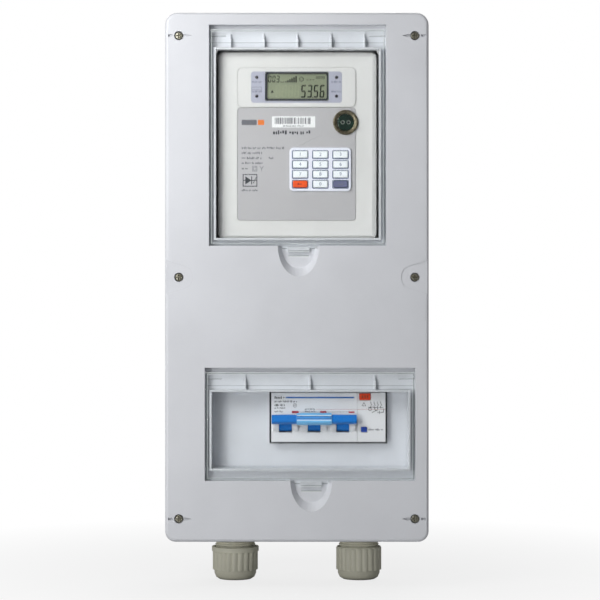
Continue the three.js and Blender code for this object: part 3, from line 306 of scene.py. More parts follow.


# the grime setting of these looks darkens corners and gaps with grime and painted shade
SLOT_LOOKS = {
    "cover_plastic": moulded("cover_plastic", rgb(221, 223, 228), 0.42, grime_and_shade=0.25),
    "housing_plastic": moulded("housing_plastic", rgb(208, 211, 215), 0.5, worn=0.25, grime_and_shade=0.3),
    "rubber": moulded("rubber", rgb(34, 36, 38), 0.8, grain=0.3, relief=0.02),
    "screw_steel": metal("screw_steel", rgb(172, 170, 158), rgb(98, 92, 62), 0.3),
    "plate_steel": metal("plate_steel", rgb(190, 193, 196), rgb(150, 152, 155), 0.4, (0.06, 1, 1)),
    "rail_steel": metal("rail_steel", rgb(205, 200, 178), rgb(170, 158, 120), 0.34, (0.05, 1, 1)),
    "clear_plastic": clear("clear_plastic", rgb(253, 254, 254), 0.012, 0.003),
    "meter_plastic": moulded("meter_plastic", rgb(219, 218, 216), 0.46, grain=0.35, grime_and_shade=0.3),
    "label_grey": moulded(
        "label_grey", rgb(184, 182, 184), 0.5, grain=0.3, relief=0.006, mottle=0.02
    ),
    "display_lens": clear("display_lens", rgb(250, 252, 250), 0.012, 0.003),
    "lcd_glass": lcd_back(),
    "lamp_red": glossy_dark("lamp_red", rgb(48, 42, 46), 0.2),
    "port_metal": turned_metal(
        "port_metal", rgb(134, 126, 104), rgb(78, 72, 56), node_centre("optical_port_ring"), 0.32
    ),
    "port_glass": glossy_dark("port_glass", rgb(12, 38, 28), 0.1),
    "key_frame": moulded("key_frame", rgb(232, 233, 244), 0.45, grain=0.3, relief=0.006, grime_and_shade=0.2),
    "key_white": moulded("key_white", rgb(245, 249, 255), 0.4, grain=0.25, relief=0.006),
    "key_orange": moulded("key_orange", rgb(236, 82, 14), 0.4, grain=0.25, relief=0.006),
    "key_slate": moulded("key_slate", rgb(98, 102, 134), 0.4, grain=0.25, relief=0.006),
    "circuit_board": circuit_board(),
    "terminal_black": moulded("terminal_black", rgb(36, 38, 42), 0.5, worn=0.2),
    "breaker_white": moulded("breaker_white", rgb(240, 240, 242), 0.4, grain=0.3, relief=0.008, grime_and_shade=0.35),
    "toggle_blue": moulded("toggle_blue", rgb(0, 118, 208), 0.32, grain=0.3, relief=0.006, mottle=0.06),
    "tie_blue": moulded("tie_blue", rgb(118, 190, 240), 0.3, grain=0.3, relief=0.006),
    "test_orange": moulded("test_orange", rgb(240, 72, 24), 0.35, grain=0.3, relief=0.006),
    "reset_blue": moulded("reset_blue", rgb(34, 76, 180), 0.35, grain=0.3, relief=0.006),
    "gland_grey": moulded(
        "gland_grey", rgb(224, 222, 203), 0.5, grain=0.4, relief=0.02, mottle=0.06, worn=0.3, grime_and_shade=0.5
    ),
}


# ---------------------------------------------------------------- finishing the CAD nodes

SHARP_TURN = math.radians(36)  # edges that turn more than this are rounded
SLIVER = 0.05 * MM  # triangles thinner than this take their neighbour's direction
SAME_POINT = 0.005 * MM  # corners this close count as one
MERGE = 0.002 * MM
BEVEL_SEGMENTS = 2


def point_key(vertex):
    return tuple(round(c / SAME_POINT) for c in vertex.co)


def corner_keys(mesh, face):
    return [point_key(mesh.vertices[i]) for i in face.vertices]


def longest_side(mesh, face):
    points = [mesh.vertices[i].co for i in face.vertices]
    lengths = [(points[i] - points[(i + 1) % len(points)]).length for i in range(len(points))]
    return lengths.index(max(lengths)), max(lengths)


def open_direction(mesh, face, sides):
    """The normal of the nearest face that isn't a sliver, going over the longest side each time."""
    seen = set()
    while face.index not in seen:
        seen.add(face.index)
        side, length = longest_side(mesh, face)
        if length and 2 * face.area / length >= SLIVER:
            return face.normal.copy()
        keys = corner_keys(mesh, face)
        shared = sides[frozenset((keys[side], keys[(side + 1) % len(keys)]))]
        others = [i for i in shared if i != face.index]
        if others:
            face = mesh.polygons[others[0]]
    return Vector()


def faces_by_side(mesh):
    """The faces on each side, found by the places of its two ends."""
    sides = {}
    for face in mesh.polygons:
        keys = corner_keys(mesh, face)
        for i, key in enumerate(keys):
            sides.setdefault(frozenset((key, keys[(i + 1) % len(keys)])), []).append(face.index)
    return sides


def sharp_sides(mesh):
    """The sides where the surface turns sharply, looking through sliver triangles."""
    sides = faces_by_side(mesh)
    direction = [open_direction(mesh, face, sides) for face in mesh.polygons]
    sharp = set()
    for side, faces in sides.items():
        if len(faces) == 2:
            first, second = (direction[i] for i in faces)
            if first.length and second.length and first.angle(second) > SHARP_TURN:
                sharp.add(side)
    return sharp


def mark_sharp_edges(mesh, crisp_before):
    """Weights for the bevel: 1 on real edges, 0 inside flat faces.

    Real edges that reach in front of the crisp_before plane are kept sharp instead, because rounding
    would fold the long thin triangles there.
    """
    sharp = sharp_sides(mesh)
    weights = mesh.attributes.new("bevel_weight_edge", "FLOAT", "EDGE")
    keys = [point_key(vertex) for vertex in mesh.vertices]
    values = []
    for edge in mesh.edges:
        start, end = edge.vertices
        turns = frozenset((keys[start], keys[end])) in sharp
        crisp = min(mesh.vertices[start].co.y, mesh.vertices[end].co.y) <= crisp_before
        values.append(float(turns and not crisp))
        edge.use_edge_sharp = turns and crisp
    weights.data.foreach_set("value", values)


def finish_node(node, look, edge):
    """Gives a CAD node its material, and rounds its edges by edge millimetres with modifiers."""
    mesh = node.data
    custom = mesh.attributes.get("custom_normal")
    if custom:
        mesh.attributes.remove(custom)
    mesh.polygons.foreach_set("use_smooth", [True] * len(mesh.polygons))
    mesh.edges.foreach_set("use_edge_sharp", [False] * len(mesh.edges))
    mark_sharp_edges(mesh, CRISP_BEFORE.get(node.name, -math.inf))
    mesh.materials.clear()
    mesh.materials.append(look)
    weld = node.modifiers.new("merge", "WELD")
    weld.merge_threshold = MERGE
    bevel = node.modifiers.new("edges", "BEVEL")
    bevel.width = edge * MM
    bevel.segments = BEVEL_SEGMENTS
    bevel.limit_method = "WEIGHT"
    bevel.use_clamp_overlap = False
    bevel.miter_outer = "MITER_ARC"
    normals = node.modifiers.new("normals", "WEIGHTED_NORMAL")
    normals.keep_sharp = True


CRISP_BEFORE = {"front_cover": -127 * MM}  # the plane in front of which a node's edges stay sharp
EDGE_ROUNDS = {  # millimetres; the other nodes take PLAIN_EDGE
    "front_cover": 0.3,
    "rear_housing": 0.25,
    "upper_window": 0.15,
    "lower_window": 0.15,
    "display_lens": 0.12,
    "lcd_module": 0.15,
    "mounting_plate": 0.3,
}
PLAIN_EDGE = 0.15


def finish_all_nodes():
    for row in frame["record"]["subparts"]:
        name = row["node"]
        finish_node(NODES[name], SLOT_LOOKS[row["material_slot"]], EDGE_ROUNDS.get(name, PLAIN_EDGE))


# ---------------------------------------------------------------- thin printed and laid-on pieces


class Relief:
    """Collects flat shapes drawn in X and Z, in millimetres, as one mesh between two depths."""

    def __init__(self, front, back):
        self.depths = (front, back)
        self.points = []
        self.faces = []

    def add_loop(self, loop):
        """Adds a loop's points at both depths and returns their indices, front loop first."""
        start = len(self.points)
        self.points += [(x, y, z) for y in self.depths for x, z in loop]
        return range(start, start + len(loop)), range(start + len(loop), start + 2 * len(loop))

    def wall(self, first, second, flip=False):
        count = len(first)
        for i in range(count):
            j = (i + 1) % count
            quad = (first[i], first[j], second[j], second[i])
            self.faces.append(quad[::-1] if flip else quad)

    def solid(self, loop):
        front, back = self.add_loop(loop)
        self.faces += [tuple(front), tuple(reversed(back))]
        self.wall(front, back, flip=True)

    def ring(self, outer, inner):
        """A shape with a hole; both loops have the same number of points."""
        outer_front, outer_back = self.add_loop(outer)
        inner_front, inner_back = self.add_loop(inner)
        self.wall(outer_front, inner_front)
        self.wall(outer_back, inner_back, flip=True)
        self.wall(outer_front, outer_back, flip=True)
        self.wall(inner_front, inner_back)

    def mesh(self, name):
        mesh = bpy.data.meshes.new(name)
        mesh.from_pydata(self.points, [], self.faces)
        return mesh


def place_mesh(name, mesh, origin, look, body="root", turn=None):
    """Puts a mesh drawn in millimetres at a point in the frame, and makes it ride a body."""
    mesh.transform(Matrix.Scale(MM, 4))
    if turn is not None:
        mesh.transform(turn)
    mesh.transform(Matrix.Translation(origin))
    mesh.materials.clear()
    mesh.materials.append(look)
    piece = bpy.data.objects.new(name, mesh)
    bpy.context.scene.collection.objects.link(piece)
    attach(piece, body)
    return piece


def mark(name, shapes, origin, look, body="root", thickness=INK, turn=None):
    """A printed mark, or a mark of painted shade or painted highlight, its back sunk into the face at
    origin.

    A shape is a loop, or an outer and an inner loop.
    """
    relief = Relief(SUNK - thickness, SUNK)
    for shape in shapes:
        if isinstance(shape, tuple):
            relief.ring(*shape)
        else:
            relief.solid(shape)
    return place_mesh(name, relief.mesh(name), origin, look, body, turn)


# Outlines, as lists of (x, z) points in millimetres.


def rectangle(x0, x1, z0, z1):
    return [(x0, z0), (x1, z0), (x1, z1), (x0, z1)]


def on_circle(x, z, radius, angle):
    return (x + radius * math.cos(angle), z + radius * math.sin(angle))


def rounded(x0, x1, z0, z1, radius, steps=5):
    corners = [(x1 - radius, z0 + radius, -90), (x1 - radius, z1 - radius, 0)]
    corners += [(x0 + radius, z1 - radius, 90), (x0 + radius, z0 + radius, 180)]
    return [
        on_circle(x, z, radius, math.radians(start + 90 * i / steps))
        for x, z, start in corners
        for i in range(steps + 1)
    ]


def circle(x, z, radius, sides=28):
    return [on_circle(x, z, radius, math.tau * i / sides) for i in range(sides)]


def stroke(x0, z0, x1, z1, width):
    """A straight line of a given width."""
    along = Vector((x1 - x0, z1 - z0)).normalized() * width / 2
    return [
        (x0 - along.y, z0 + along.x),
        (x0 + along.y, z0 - along.x),
        (x1 + along.y, z1 - along.x),
        (x1 - along.y, z1 + along.x),
    ]


def chain(points, width):
    return [stroke(*start, *end, width) for start, end in zip(points, points[1:])]


def outline_box(x0, x1, z0, z1, width):
    return (rectangle(x0, x1, z0, z1), rectangle(x0 + width, x1 - width, z0 + width, z1 - width))


def hoop(x, z, radius, width):
    return (circle(x, z, radius), circle(x, z, radius - width))


SEGMENTS = {
    "0": "abcdef", "1": "bc", "2": "abged", "3": "abgcd", "4": "fgbc",
    "5": "afgcd", "6": "afgedc", "7": "abc", "8": "abcdefg", "9": "abcdfg",
}


SEGMENT_GAP = 0.18  # between neighbouring bars, as a share of their thickness
SEGMENT_NIP = 0.45  # how far a bar's pointed ends reach back, as a share of its thickness
FIGURE_SLANT = 0.08


def segment_bar(x0, z0, x1, z1, nip):
    """A bar with pointed ends, along its longer direction."""
    mid_x, mid_z = (x0 + x1) / 2, (z0 + z1) / 2
    if x1 - x0 > z1 - z0:
        return [(x0 + nip, z0), (x1 - nip, z0), (x1, mid_z), (x1 - nip, z1), (x0 + nip, z1), (x0, mid_z)]
    return [(x0, z0 + nip), (mid_x, z0), (x1, z0 + nip), (x1, z1 - nip), (mid_x, z1), (x0, z1 - nip)]


def seven_segments(figure, x, z, width, height, thick):
    """One display figure with its lower left corner at (x, z)."""
    mid = height / 2
    gap = thick * SEGMENT_GAP
    bars = {
        "a": (gap, height - thick, width - gap, height),
        "g": (gap, mid - thick / 2, width - gap, mid + thick / 2),
        "d": (gap, 0, width - gap, thick),
        "f": (0, mid + gap, thick, height - gap),
        "b": (width - thick, mid + gap, width, height - gap),
        "e": (0, gap, thick, mid - gap),
        "c": (width - thick, gap, width, mid - gap),
    }
    shapes = []
    for key in SEGMENTS[figure]:
        loop = segment_bar(*bars[key], thick * SEGMENT_NIP)
        shapes.append([(x + px + FIGURE_SLANT * pz, z + pz) for px, pz in loop])
    return shapes


LETTER_WIDTHS = (0.32, 0.5)  # narrowest and widest block, as shares of the print's height
LETTER_FEET = (0, 0, 0.25)
LETTER_TOPS = (1, 0.72, 0.72)
LETTER_GAP = 0.18
WORD_GAP = 0.45


def greek_words(rng, x0, x1, z, height):
    """Small blocks that stand for a line of fine print, without any letters."""
    shapes = []
    x = x0
    low = z - height / 2
    while x < x1:
        letters = rng.randint(2, 6)
        for _ in range(letters):
            width = height * rng.uniform(*LETTER_WIDTHS)
            if x + width > x1:
                return shapes
            foot = low + height * rng.choice(LETTER_FEET)
            top = low + height * rng.choice(LETTER_TOPS)
            shapes.append(rectangle(x, x + width, foot, top))
            x += width + height * LETTER_GAP
        x += height * WORD_GAP
    return shapes


def greek_rows(rng, rows):
    """Several lines of fine print, each given as left end, right end, middle and height."""
    return [shape for row in rows for shape in greek_words(rng, *row)]


# ---------------------------------------------------------------- inks

INK_DARK = printed("ink_dark", rgb(52, 54, 60))
INK_GREY = printed("ink_grey", rgb(104, 104, 110))
INK_FAINT = printed("ink_faint", rgb(112, 114, 126))
INK_ORANGE = printed("ink_orange", rgb(226, 120, 44))
INK_BLUE = printed("ink_blue", rgb(14, 100, 186))
INK_RED = printed("ink_red", rgb(176, 28, 52))
INK_ROSE = printed("ink_rose", rgb(196, 150, 148))
INK_WHITE = printed("ink_white", rgb(240, 242, 246), 0.4, 0.02)
INK_NAVY = printed("ink_navy", rgb(20, 58, 120), 0.35)
FIELD_LAVENDER = printed("display_field", rgb(172, 173, 188), 0.45, 0.02)
FIELD_SLATE = printed("display_border", rgb(46, 48, 56), 0.4, 0.04)
LCD_INK = printed("lcd_segments", rgb(6, 7, 6), 0.4, 0.05)
LCD_GHOST = printed("lcd_unlit", rgb(152, 155, 132), 0.35, 0.02)
# painted shade and painted highlight, drawn as thin lines where moulded edges would block or catch the light
EDGE_SHADE_PAINT = printed("moulded_edge_shade", rgb(84, 98, 98), 0.4, 0.05)
EDGE_SHINE_PAINT = printed("moulded_edge_shine", rgb(246, 250, 250), 0.3, 0.01)
PAPER = printed("sticker_paper", rgb(240, 240, 240), 0.6, 0.015)


# ---------------------------------------------------------------- meter face


def front_centre(name):
    """The middle of a node's front face."""
    low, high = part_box(name)
    return Vector(((low.x + high.x) / 2, low.y, (low.z + high.z) / 2))


def flat_offset(point, origin):
    """How far a point lies to the right of and above an origin, in millimetres."""
    return (point.x - origin.x) / MM, (point.z - origin.z) / MM


LENS_GAP = 0.35  # between the lens and the field printed round it
LENS_HOLE_RADIUS = 1.5
FIELD = (-41.6, 41.4, -14.2, 14.4)  # left, right, bottom and top, as in every box below
FIELD_RADIUS = 2.6
FIELD_INK = 0.12
FIELD_PROUD = 0.09  # how far prints on the field start in front of the bezel
NAME_LEFT, NAME_RIGHT = 4.6, 4.8  # how far a lamp's name reaches to either side
NAME_AWAY = 4.2
NAME_HEIGHT = 1.5
BOXED_LAMP = 3


def lamp_names(rng, bezel):
    """Fine print below the first two lamps and above the other two, with an empty box by one of them."""
    names = []
    for number in (1, 2, 3, 4):
        x, z = flat_offset(front_centre(f"status_led_{number}"), bezel)
        away = -NAME_AWAY if number <= 2 else NAME_AWAY
        names += greek_words(rng, x - NAME_LEFT, x + NAME_RIGHT, z + away, NAME_HEIGHT)
        if number == BOXED_LAMP:
            names.append(outline_box(x - NAME_RIGHT, x + NAME_LEFT, z + 5.6, z + 8.4, 0.35))
    return names


def inset(half_width, half_height, side, end, radius):
    """A rounded box about the middle, drawn in from its half sizes."""
    return rounded(-half_width + side, half_width - side, -half_height + end, half_height - end, radius)


def display_marks(rng):
    bezel = front_centre("display_bezel")
    lens = front_centre("display_lens")
    lens_low, lens_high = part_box("display_lens")
    half_width = (lens_high.x - lens_low.x) / 2 / MM
    half_height = (lens_high.z - lens_low.z) / 2 / MM
    shift_x, shift_z = flat_offset(lens, bezel)
    hole = rounded(
        shift_x - half_width - LENS_GAP,
        shift_x + half_width + LENS_GAP,
        shift_z - half_height - LENS_GAP,
        shift_z + half_height + LENS_GAP,
        LENS_HOLE_RADIUS,
    )
    field = [(rounded(*FIELD, FIELD_RADIUS), hole)]
    mark("display_field", field, bezel, FIELD_LAVENDER, thickness=FIELD_INK)
    on_field = bezel + Vector((0, -FIELD_PROUD * MM, 0))
    mark("lamp_names", lamp_names(rng, bezel), on_field, INK_FAINT)
    outer = inset(half_width, half_height, 0.05, 0.05, 2.4)
    inner = inset(half_width, half_height, 1.5, 1.7, 1.6)
    mark("display_border", [(outer, inner)], lens, FIELD_SLATE)


SMALL_LEFT, SMALL_FOOT = -26.3, 3.7  # where the row of small figures starts on the display
SMALL_PITCH = 3.7
LARGE_LEFT, LARGE_FOOT = 3.4, -10.2
LARGE_PITCH = 5.7
LARGE_HEIGHT = 11.6
GHOST_LEFT = -25.4  # where the row of unlit figures would start
POINT = 0.8  # width of a decimal point
POINT_FOOT, POINT_TOP = -10.3, -9.5
SIGNAL_LEFT, SIGNAL_PITCH = -10.6, 1.85
SIGNAL_BAR = 1.3
SIGNAL_RISE = 0.95  # from one signal bar to the next


def figure_row(text, left, foot, pitch, size):
    """Display figures in a row; size is each one's width, height and bar thickness."""
    shapes = []
    for i, figure in enumerate(text):
        shapes += seven_segments(figure, left + i * pitch, foot, *size)
    return shapes


def decimal_point(left):
    return rectangle(left, left + POINT, POINT_FOOT, POINT_TOP)


def lcd_top_row():
    """Small figures with a dash, rising signal bars, a round sign, three dashes and four boxes."""
    lit = figure_row("003", SMALL_LEFT, SMALL_FOOT, SMALL_PITCH, (2.8, 6.1, 0.8))
    lit.append(rectangle(-14.8, -11.4, SMALL_FOOT, SMALL_FOOT + 0.5))
    for i in range(6):
        left = SIGNAL_LEFT + i * SIGNAL_PITCH
        lit.append(rectangle(left, left + SIGNAL_BAR, SMALL_FOOT, SMALL_FOOT + 1.0 + i * SIGNAL_RISE))
    lit.append(hoop(4.2, 6.7, 2.2, 0.45))
    lit += [rectangle(3.1, 3.7, 6.9, 7.5), rectangle(4.7, 5.3, 6.9, 7.5), rectangle(3.5, 4.9, 5.5, 5.9)]
    lit += [rectangle(8.8 + i * 2.7, 10.6 + i * 2.7, 5.9, 6.35) for i in range(3)]
    lit += [outline_box(17.6 + i * 2.1, 19.2 + i * 2.1, 7.0, 9.2, 0.38) for i in range(4)]
    return lit


def lcd_marks():
    cell = front_centre("lcd_module")
    lit = lcd_top_row()
    lit += figure_row("5356", LARGE_LEFT, LARGE_FOOT, LARGE_PITCH, (4.4, LARGE_HEIGHT, 1.3))
    lit.append(decimal_point(13.7))
    lit.append([(-24.0, -5.8), (-21.0, -5.8), (-22.5, -3.2)])
    mark("lcd_lit_segments", lit, cell, LCD_INK)
    ghost = []
    for i in range(1, 5):
        ghost += seven_segments("8", GHOST_LEFT + i * LARGE_PITCH, LARGE_FOOT, 4.3, LARGE_HEIGHT, 1.05)
    ghost += [decimal_point(19.9), decimal_point(8.0)]
    mark("lcd_unlit_segments", ghost, cell, LCD_GHOST, thickness=INK * 1.2)


STICKER = (-22.5, 17.0, 33.4, 43.6)
STICKER_INK = 0.14
STICKER_PROUD = 0.11  # how far prints on the sticker start in front of the label
BARS_LEFT, BARS_RIGHT = -20.0, 12.6
BARS_FOOT, BARS_TOP = 36.6, 42.4
BAR_WIDTHS = (0.35, 0.35, 0.7, 1.05)
BAR_GAPS = (0.4, 0.4, 0.8)
FINE_LEFT = -50.1
FINE_LINES = (  # middle and right end of each
    (14.7, -11.0), (10.1, -30.8), (5.5, -31.6), (1.0, -30.2), (-3.9, -43.2), (-23.9, -35.4),
)
FINE_HEIGHT = 2.0
MAKER_BAR = (-50.2, -36.4, 35.6, 40.4)
MAKER_ACCENT = (-35.4, -29.6, 35.6, 40.4)


def sticker_bars(rng):
    """Bars of random widths, which stand for a bar code and encode nothing."""
    bars = []
    x = BARS_LEFT
    while x < BARS_RIGHT:
        width = rng.choice(BAR_WIDTHS)
        bars.append(rectangle(x, x + width, BARS_FOOT, BARS_TOP))
        x += width + rng.choice(BAR_GAPS)
    return bars


def diode_symbol():
    """A boxed diode with a lead on either side and a slanted line beyond it."""
    shapes = [outline_box(-49.2, -35.9, -20.6, -9.2, 0.75)]
    shapes += chain([(-49.2, -14.9), (-46.6, -14.9)], 0.7) + chain([(-41.0, -14.9), (-36.0, -14.9)], 0.7)
    shapes.append([(-46.8, -18.6), (-41.2, -14.9), (-46.8, -11.2)])
    shapes += chain([(-41.0, -18.6), (-41.0, -11.2)], 0.8)
    return shapes + chain([(-39.6, -17.6), (-36.9, -12.0)], 0.6)


def small_symbols():
    """A square within a square, and a fork."""
    squares = [outline_box(-40.4, -36.0, -6.6, -1.8, 0.4), outline_box(-39.5, -36.9, -5.7, -2.7, 0.35)]
    arms = chain([(-33.6, -1.9), (-31.9, -4.1), (-30.2, -1.9)], 0.45)
    return squares + arms + chain([(-31.9, -4.1), (-31.9, -6.4)], 0.45)


def label_marks(rng):
    panel = front_centre("meter_label_panel")
    bars = sticker_bars(rng)
    mark("sticker", [rounded(*STICKER, 0.6, 3)], panel, PAPER, thickness=STICKER_INK)
    on_sticker = panel + Vector((0, -STICKER_PROUD * MM, 0))
    bars += greek_words(rng, -12.5, 7.0, 34.8, 1.3)
    mark("sticker_bars", bars, on_sticker, INK_GREY)
    title = greek_words(rng, -21.5, 14.6, 28.9, 3.6)
    mark("symbol_and_title", title + diode_symbol(), panel, INK_DARK)
    fine = greek_rows(rng, [(FINE_LEFT, end, middle, FINE_HEIGHT) for middle, end in FINE_LINES])
    fine += greek_words(rng, -25.4, -21.4, 5.5, FINE_HEIGHT)
    mark("fine_print", fine + small_symbols(), panel, INK_GREY)
    mark("maker_bar", [rounded(*MAKER_BAR, 0.8, 3)], panel, INK_GREY)
    mark("maker_accent", [rounded(*MAKER_ACCENT, 0.8, 3)], panel, INK_ORANGE)


KEY_FIGURES = {f"key_{i}": str(i) for i in range(10)}
FIGURE_SIZE = 4.4
STAND_UP = Matrix.Rotation(math.radians(90), 4, "X")


def figure_mesh(name, text, size, thickness):
    """A plain figure in millimetres, centred, from the built-in font, standing up to face -Y."""
    curve = bpy.data.curves.new(name, "FONT")
    curve.body = text
    curve.size = size
    curve.extrude = thickness / 2
    curve.resolution_u = 3
    curve.align_x = "CENTER"
    curve.align_y = "CENTER"
    source = bpy.data.objects.new(name, curve)
    mesh = bpy.data.meshes.new_from_object(source)
    bpy.data.objects.remove(source)
    bpy.data.curves.remove(curve)
    mesh.transform(Matrix.Translation((0, SUNK - thickness / 2, 0)) @ STAND_UP)
    return mesh


def key_outlines(bezel):
    """A rounded ring on the bezel round each key, a little wider to the left and below: partly the key's
    printed outline, partly painted shade in the gap round it.
    """
    rings = []
    for name in [*KEY_FIGURES, "key_cancel", "key_enter"]:
        low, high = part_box(name)
        x0, z0 = flat_offset(low, bezel)
        x1, z1 = flat_offset(high, bezel)
        inner = rounded(x0 - 0.35, x1 + 0.35, z0 - 0.35, z1 + 0.35, 0.9, 3)
        rings.append((rounded(x0 - 1.0, x1 + 0.9, z0 - 1.1, z1 + 0.8, 1.2, 3), inner))
    return rings


def keypad_marks():
    bezel = front_centre("keypad_bezel")
    mark("key_outlines", key_outlines(bezel), bezel, printed("key_outline_and_shade_ink", rgb(92, 104, 136)))
    ink = printed("key_figure", rgb(96, 108, 140))
    for name, text in KEY_FIGURES.items():
        figure = figure_mesh(name, text, FIGURE_SIZE, INK)
        place_mesh(f"{name}_figure", figure, front_centre(name), ink, name)
    cancel = chain([(-1.5, 0), (1.5, 0)], 0.7) + [[(-2.7, 0), (-1.2, -1.3), (-1.2, 1.3)]]
    red = printed("cancel_ink", rgb(150, 44, 20))
    mark("key_cancel_arrow", cancel, front_centre("key_cancel"), red, "key_cancel")
    enter = chain([(1.9, 1.2), (1.9, -0.5), (-1.0, -0.5)], 0.5)
    enter.append([(-2.3, -0.5), (-0.9, -1.5), (-0.9, 0.5)])
    mark("key_enter_arrow", enter, front_centre("key_enter"), INK_FAINT, "key_enter")


EYE_OFFSET = 2.7  # of each infrared window from the port's middle


def port_emitters():
    """Two small infrared windows in the dark glass, each with a thin bright rim."""
    glass = front_centre("optical_port_lens")
    rims = [hoop(side * EYE_OFFSET, 0, 1.75, 0.4) for side in (-1, 1)]
    mark("port_rims", rims, glass, printed("port_rim", rgb(142, 148, 138), 0.3), thickness=0.1)
    eyes = [circle(side * EYE_OFFSET, 0, 1.1) for side in (-1, 1)]
    dark = glossy_dark("port_eye", rgb(26, 30, 34), 0.08)
    mark("port_eyes", eyes, glass, dark, thickness=0.12)


# ---------------------------------------------------------------- breaker face


POLES_WIDTH = 78.4  # of the three poles together
NOSE_HEIGHT = 45.0
HANDLE_ZONE = (7.6, 23.2)  # heights on the nose between which the handles come out
POLE_PITCH = 26.2
OVER_SHEET = 0.16  # thickness of ink that stands proud of the face sheet
FACE_SHEET = 0.1
SURROUND = 1.9  # width of the dark gap round the nose, filled with painted shade
SURROUND_DEPTH = 9.2  # from the nose's face back to the well's floor


def breaker_origin():
    """The lower left corner of the breaker's nose, on its face."""
    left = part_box("breaker_pole_1")[0].x
    face_low, face_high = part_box("residual_current_module")
    middle = (face_low.z + face_high.z) / 2
    return Vector((left, face_low.y, middle - NOSE_HEIGHT / 2 * MM))


def breaker_face_sheets(origin):
    """One smooth label over the three poles, cut away around the handles."""
    low, high = HANDLE_ZONE
    sheets = [rectangle(0.3, POLES_WIDTH, high, NOSE_HEIGHT - 0.2), rectangle(0.3, POLES_WIDTH, 0.2, low)]
    sheets += [rectangle(i * POLE_PITCH - 1.5, i * POLE_PITCH + 1.5, low, high) for i in (1, 2)]
    white = SLOT_LOOKS["breaker_white"]
    mark("breaker_face_sheets", sheets, origin, white, thickness=FACE_SHEET)


def breaker_surround(origin):
    """The dark gap round the nose: a dark ring of painted shade just behind the floor of the well."""
    right = (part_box("residual_current_module")[1].x - origin.x) / MM
    outer = rectangle(-SURROUND, right + SURROUND, -SURROUND, NOSE_HEIGHT + SURROUND)
    inner = rectangle(-0.1, right + 0.1, -0.1, NOSE_HEIGHT + 0.1)
    behind_floor = origin + Vector((0, SURROUND_DEPTH * MM, 0))
    mark("breaker_gap_painted_shade", [(outer, inner)], behind_floor, SLOT_LOOKS["rubber"], thickness=0.4)


# Prints on the breaker, in millimetres from the lower left corner of its nose.
STRIPE = (13.2, 75.8, 39.9, 41.2)
THIN_LINE = (40.9, 104.0, 29.6, 29.9)
ON_INDICATORS = ((18.8, 25.0, 26.2, 28.3), (44.7, 50.4, 26.6, 28.3), (70.7, 76.1, 26.4, 27.9))
GREY_RULES = ((25.0, 44.8, 27.3, 27.6), (50.4, 70.7, 27.3, 27.6))
# Rows of fine print: left end, right end, middle and height.
TITLE_ROWS = ((3.0, 12.6, 40.6, 2.2), (3.0, 12.8, 33.6, 1.9))
LEFT_ROWS = ((3.0, 23.4, 37.0, 1.7), (3.0, 13.2, 31.0, 1.4), (3.0, 11.5, 27.8, 1.6))
MIDDLE_ROWS = ((30.7, 40.3, 30.0, 1.4), (30.7, 40.3, 27.9, 1.4))
RESET_ROWS = ((88.6, 102.5, 11.2, 1.8),)


def breaker_fine_print(rng):
    fine = greek_rows(rng, LEFT_ROWS)
    fine += [hoop(21.6, 33.4, 1.7, 0.4)] + chain([(20.6, 33.4), (22.6, 33.4)], 0.35)
    fine += greek_rows(rng, MIDDLE_ROWS)
    fine += [rectangle(*rule) for rule in GREY_RULES]
    return fine + greek_rows(rng, RESET_ROWS)


def breaker_marks(rng):
    origin = breaker_origin()
    breaker_face_sheets(origin)
    breaker_surround(origin)

    def ink(name, shapes, look):
        mark(name, shapes, origin, look, thickness=OVER_SHEET)

    ink("breaker_stripe", [rectangle(*STRIPE)], INK_BLUE)
    ink("breaker_title", greek_rows(rng, TITLE_ROWS), INK_DARK)
    ink("breaker_fine_print", breaker_fine_print(rng), INK_GREY)
    ink("on_indicators", [rectangle(*box) for box in ON_INDICATORS], INK_RED)
    ink("breaker_thin_line", [rectangle(*THIN_LINE)], INK_ROSE)
    ink("breaker_circuit", circuit_diagram(), INK_DARK)


TIE_LEAN = math.radians(-27.8)  # of the clip's face at rest, about the handles' pivot
TIE_RADIUS = 16.3  # from the pivot to the clip's face
TIE_MARGIN = 0.3


def tie_bands():
    """Bands of painted highlight and painted shade along the clip that joins the toggles; they turn with the
    handle.
    """
    pivots = {joint["name"]: joint for joint in frame["record"]["behaviour"]["joints"]}
    pivot = Vector(pivots["breaker_handle_pivot"]["pos_m"])
    low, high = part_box("toggle_tie")
    pivot.x = (low.x + high.x) / 2
    lean = Matrix.Rotation(TIE_LEAN, 4, "X")
    face = pivot + lean @ Vector((0, -TIE_RADIUS * MM, 0))
    half = (high.x - low.x) / 2 / MM - TIE_MARGIN

    def bands(name, heights, look):
        strips = [rectangle(-half, half, bottom, top) for bottom, top in heights]
        mark(name, strips, face, look, "breaker_handle", turn=lean)

    bands("tie_painted_highlight_bands", [(1.7, 2.3), (-2.9, -2.3)], EDGE_SHINE_PAINT)
    bands("tie_painted_shade_bands", [(0.9, 1.5), (-1.1, -0.7)], printed("tie_painted_shade", rgb(24, 84, 160), 0.35))
    bands("tie_painted_midtone_bands", [(-0.6, 0.8), (-2.2, -1.2)], printed("tie_painted_midtone", rgb(70, 148, 222), 0.35))


def circuit_diagram():
    """A generic residual-current symbol: contacts, a sensing ring, a coil and a test loop."""
    lines = []
    for x in (91.0, 94.0, 97.0, 100.0):
        lines += chain([(x, 36.8), (x, 35.4), (x + 1.1, 33.2)], 0.4) + chain([(x, 33.2), (x, 30.6)], 0.4)
    lines += [hoop(96.0, 30.2, 1.7, 0.4), hoop(90.2, 29.9, 1.5, 0.4)]
    lines += chain([(83.0, 33.0), (86.4, 33.0), (84.7, 36.0), (83.0, 33.0)], 0.35)
    lines += chain([(88.4, 31.6), (102.6, 31.6)], 0.35)
    lines += chain([(97.0, 27.0), (102.4, 27.0), (102.4, 30.6)], 0.4)
    lines += chain([(92.0, 26.8), (96.6, 29.0)], 0.4) + chain([(99.0, 25.6), (99.0, 28.4)], 0.4)
    return lines


